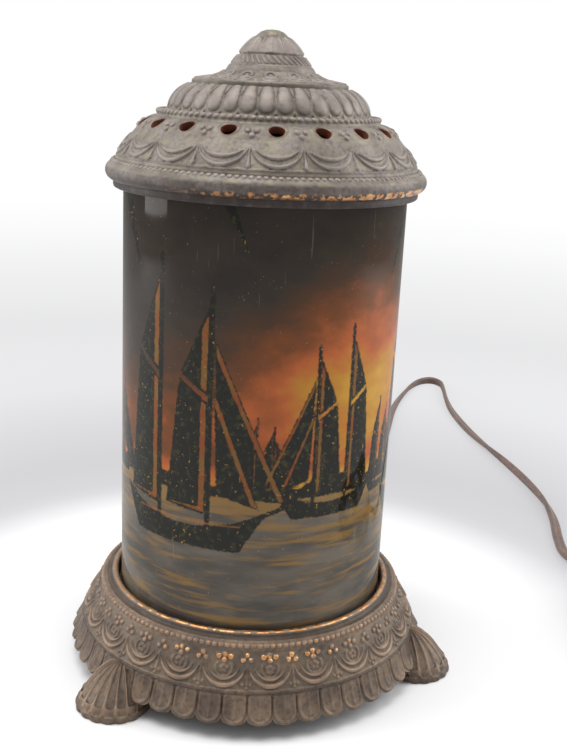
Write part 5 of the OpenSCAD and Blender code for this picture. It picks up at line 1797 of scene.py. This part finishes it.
def patch(x: Array, y: Array, corners: Sequence[Sequence[float]]) -> Array:
    """How far outside a convex patch the points lie: the largest distance beyond an edge.

    Args:
        x, y: The points.
        corners: The patch's corners, anticlockwise.
    """
    edges = []
    for (ax, ay), (bx, by) in zip(corners, [*corners[1:], corners[0]]):
        size = math.hypot(bx - ax, by - ay)
        edges.append(((x - ax) * (by - ay) - (y - ay) * (bx - ax)) / size)
    return np.maximum.reduce(edges)


@dataclass
class GlassShade:
    """The painted glass cylinder. Its picture is a bay at dusk with sailing ships at anchor."""

    finishes: Finishes
    radius: float = 57.0
    wall: float = 2.5
    low: float = 30.3
    high: float = 208.0
    shore: float = 62.0
    sunset: float = 52.0  # mm round the glass from the front to the middle of the glow
    sky_glow_up: float = 84.0
    low_glow_up: float = 66.0
    # Ships: place round the glass in mm from the front, height of the water line, size, way
    ships: tuple[tuple[float, float, float, float], ...] = (
        (-29, 42, 1.72, 1), (31, 55, 1.15, -1), (4, 62, 0.5, 1), (63, 58, 0.6, 1), (96, 44, 1.6, 1),
        (134, 60, 0.7, -1), (163, 50, 1.25, 1), (-74, 60, 0.7, 1), (-104, 46, 1.45, -1), (-142, 60, 0.8, 1),
    )
    # Masts: place from the middle of the hull, and height of the top
    masts: tuple[tuple[float, float], ...] = ((6.5, 58.0), (-6.5, 64.0))

    def ship(self, x: Array, y: Array) -> tuple[Array, Array]:
        """A two-masted ship, its bow at the right: what is dark, and what the glow lights.

        The hull flares by 0.6 mm a mm, and its rail rises by x^2 / 80 towards the ends.

        Returns:
            Distances outside the dark and the lit shapes, in the ship's own millimetres.
        """
        dark = highest(np.abs(x) - 15 - 0.6 * y, -y - 1.6, y - 3.4 - x * x / 80)
        dark = np.minimum(dark, segment(x, y, (14, 5), (25, 10)) - 0.5)
        lit = np.full(dark.shape, 40.0)
        for mast, top in self.masts:
            dark = np.minimum(dark, segment(x, y, (mast, 3), (mast, top)) - 0.55)
            main = patch(
                x, y,
                [(mast - 10.5, 8), (mast - 0.8, 7), (mast - 0.8, top * 0.56), (mast - 7.5, top * 0.64)],
            )
            upper = patch(x, y, [(mast - 7, top * 0.67), (mast - 0.8, top * 0.6), (mast - 0.6, top * 0.92)])
            dark = np.minimum(dark, np.minimum(main, upper) - 0.3)
            rim = np.maximum(np.minimum(main, upper), np.minimum(mast - 2.4 - x, 9))
            foot = np.maximum(main, np.abs(y - 7.6) - 0.8)
            lit = np.minimum(lit, np.minimum(rim, foot))
        for tip, head in (((24, 10.5), 47), ((18, 9), 36)):
            jib = patch(x, y, [(8.5, 12), tip, (7.4, head)])
            dark = np.minimum(dark, jib)
            lit = np.minimum(
                lit, np.maximum(jib, tip[0] - (y - tip[1]) * (tip[0] - 7.4) / (head - tip[1]) - x - 1.4)
            )
        return dark, np.minimum(lit, segment(x, y, (-13, 4.4), (14, 4.6)) - 0.4)

    def picture(self, u: Array, h: Array) -> dict[str, Array]:
        """The picture's layers over u, mm round the glass from the front, and h, mm up it.

        Returns:
            glow, a brightness; boats and lit, distances in mm (below 0 inside a shape);
            water, mm below the shore line.
        """
        size = 2 * np.pi * self.radius
        warm = 0.5 + 0.5 * np.cos((u - self.sunset) / self.radius)
        warm = 0.15 + 0.85 * warm**2.8
        off = np.abs((h - self.sky_glow_up - 16 * warm) / (30 + 22 * warm))
        glow = 0.88 * np.exp(-(off**2.2)) * (0.42 + 0.58 * warm)
        low_light = 0.95 * np.exp(-(((h - self.low_glow_up) / 13) ** 2)) * (0.75 + 0.25 * warm)
        glow = np.maximum(np.maximum(glow, low_light), 0.1)
        dark = np.full(np.broadcast(u, h).shape, 40.0)
        lit = dark.copy()
        for place, line, scale, way in self.ships:
            x = (u - place + size / 2) % size - size / 2
            hull, shine = self.ship(way * x / scale, (h - line) / scale)
            dark, lit = np.minimum(dark, hull * scale), np.minimum(lit, shine * scale)
        crest = 4.5 + 3.4 * np.sin(u * 0.045) + 1.5 * np.sin(u * 0.21 + 1) + 1.2 * zigzag(u / 17)
        dark = np.minimum(dark, np.maximum(h - self.shore - crest, self.shore - 1 - h) + 0.6)
        return {"glow": glow + 0 * dark, "boats": dark, "lit": lit, "water": self.shore - h + 0 * dark}

    def build(self) -> None:
        """Makes the tube with its fire-polished rims and the picture's layers."""
        r_out, r_in = self.radius, self.radius - self.wall
        half = self.wall / 2
        columns, rows_out, rows_in, rim_steps = 640, 142, 10, 8
        outer = [(r_out, z) for z in np.linspace(self.high - half, self.low + half, rows_out)]
        bottom = arc((r_out - half, self.low + half), half, 0, -180, rim_steps)[1:]
        inner = [(r_in, z) for z in np.linspace(self.low + half, self.high - half, rows_in)][1:]
        top = arc((r_out - half, self.high - half), half, 180, 0, rim_steps)[1:-1]
        profile = np.array([*outer, *bottom, *inner, *top])
        turns = every(columns)[None, :]
        r, z = profile[:, :1], profile[:, 1:]
        u = np.radians(turns) * self.radius
        layers = self.picture(u, z - self.low)
        on_inside = ease((self.radius - 0.6 - r) / 0.8)
        layers["inside"] = np.broadcast_to(on_inside, layers["glow"].shape)
        shape = skin(around_axis(r, z, turns), closed=True, layers=layers)
        add_piece(
            "painted_glass_shade", shape, Body.SHADE, self.finishes.painted_glass, ["glass_shade"],
            60,
        )


@dataclass
class Rotor:
    """What the warm air turns: a stamped spinner on a cup bearing, and the flame drum."""

    finishes: Finishes
    radius: float = 46.6
    wall: float = 0.6
    low: float = 67.7
    high: float = 191.7

    def drum(self) -> Shape:
        """A rolled film with a lapped seam: 1.2 mm proud over 8 mm, faded into the round."""
        columns, rows_out, rows_in = 360, 60, 20
        turns = every(columns)[None, :]
        rise = np.linspace(self.low, self.high, rows_out)
        z = np.concatenate([rise, np.linspace(self.high, self.low, rows_in)])[:, None]
        outer = np.concatenate([np.ones(rows_out), np.zeros(rows_in)])[:, None]
        seam = ease((turns - 180) / 1.5) * ease((194 - turns) / 9)
        r = self.radius - self.wall * (1 - outer) + 0.35 * seam * outer
        return skin(around_axis(r, z, turns), closed=True)

    def build(self) -> None:
        """The drum, and the spinner and its bearing."""
        f = self.finishes
        add_piece(
            "printed_flame_drum", self.drum(), Body.ROTOR, f.film, ["flame_drum"]
        )
        softened("stamped_air_spinner", "spinner", Body.ROTOR, f.aluminium, 0.12)
        softened("cup_bearing", "bearing_cup", Body.ROTOR, f.brass, 0.15)


@dataclass
class LampHolder:
    """What the bulb stands on, and the yoke that carries the rotor's needle."""

    finishes: Finishes

    def thread(
        self, radius: float, bore: float, low: float, high: float, pitch: float, depth: float
    ) -> Shape:
        """A tube with a rolled screw thread outside: r + depth/2 cos(2 pi (z / pitch - turn / 360))."""
        columns = 96
        turns = every(columns)[None, :]
        rows = int((high - low) / pitch * 8)
        z = np.linspace(low, high, rows)[:, None]
        fade = ease((z - low) / 0.8) * ease((high - z) / 0.8)
        wave = np.cos(2 * np.pi * (z / pitch - turns / 360))
        outer = around_axis(radius - depth / 2 + depth / 2 * wave * fade, z, turns)
        inner = around_axis(bore + 0 * wave[:2], np.array([[high], [low]]), turns)
        return skin(np.concatenate([outer, inner]), closed=True)

    def build(self) -> None:
        """Copies of the frame's small parts with broken edges, and two threaded tubes."""
        f = self.finishes
        stand = Body.STAND
        nipple = self.thread(radius=4.8, bore=3.5, low=19, high=39, pitch=1.0, depth=0.5)
        add_piece("threaded_nipple", nipple, stand, f.brass, ["nipple"])
        shell = self.thread(radius=14.1, bore=12.9, low=55, high=80, pitch=3.6, depth=1.0)
        add_piece("rolled_screw_shell", shell, stand, f.copper, ["screw_shell"])
        for name, node, material, slot, edge in (
            ("cross_bar", "crossbar", f.zinc, "zinc_plated_steel", 0.4),
            ("bar_fixing_screws", "bar_screws", f.zinc, "zinc_plated_steel", 0.25),
            ("hexagon_locknut", "locknut", f.brass, "turned_brass", 0.3),
            ("cord_entry_bushing", "nipple_bushing", f.bushing, "moulded_bushing", 0.25),
            ("spun_socket_cap", "socket_cap", f.spun_brass, "spun_brass", 0.2),
            ("spun_socket_shell", "socket_shell", f.spun_brass, "spun_brass", 0.15),
            ("fibre_socket_liner", "socket_liner", f.fibre, "fibre_board", 0.12),
            ("moulded_socket_body", "socket_body", f.phenolic, "moulded_phenolic", 0.4),
            ("terminal_screw_pair", "terminal_screws", f.brass, "turned_brass", 0.15),
            ("centre_contact_strip", "centre_contact", f.copper, "rolled_copper_alloy", 0.15),
            ("bulb_glass_stem", "bulb_stem", f.bulb_glass, "bulb_glass", 0.3),
            ("coiled_filament", "bulb_filament", f.tungsten, "tungsten", 0.1),
            ("bent_wire_yoke", "pivot_frame", f.wire, "drawn_steel_wire", 0.1),
            ("turned_needle_holder", "needle_holder", f.brass, "turned_brass", 0.3),
            ("ground_pivot_needle", "pivot_needle", f.needle, "polished_needle_steel", 0.1),
        ):
            softened(name, node, stand, material, edge)
        softened("pressed_bulb_cap", "bulb_base", stand, f.cap_aluminium, 0.1)
        softened("clear_bulb_envelope", "bulb_glass", stand, f.bulb_glass, 0.1)


# ---------------------------------------------------------------- all of it


def write_sizes() -> None:
    """Brings the view layer up to date."""
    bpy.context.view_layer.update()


def main() -> None:
    """Builds the stage, then each sub-assembly from the floor up."""
    finishes = Finishes()
    for part in (
        Studio(),
        FlatLead(finishes),
        BaseCasting(finishes),
        LampHolder(finishes),
        Rotor(finishes),
        GlassShade(finishes),
        CapCasting(finishes),
    ):
        log.info("building %s", type(part).__name__)
        part.build()
    write_sizes()


if __name__ == "__main__":
    main()
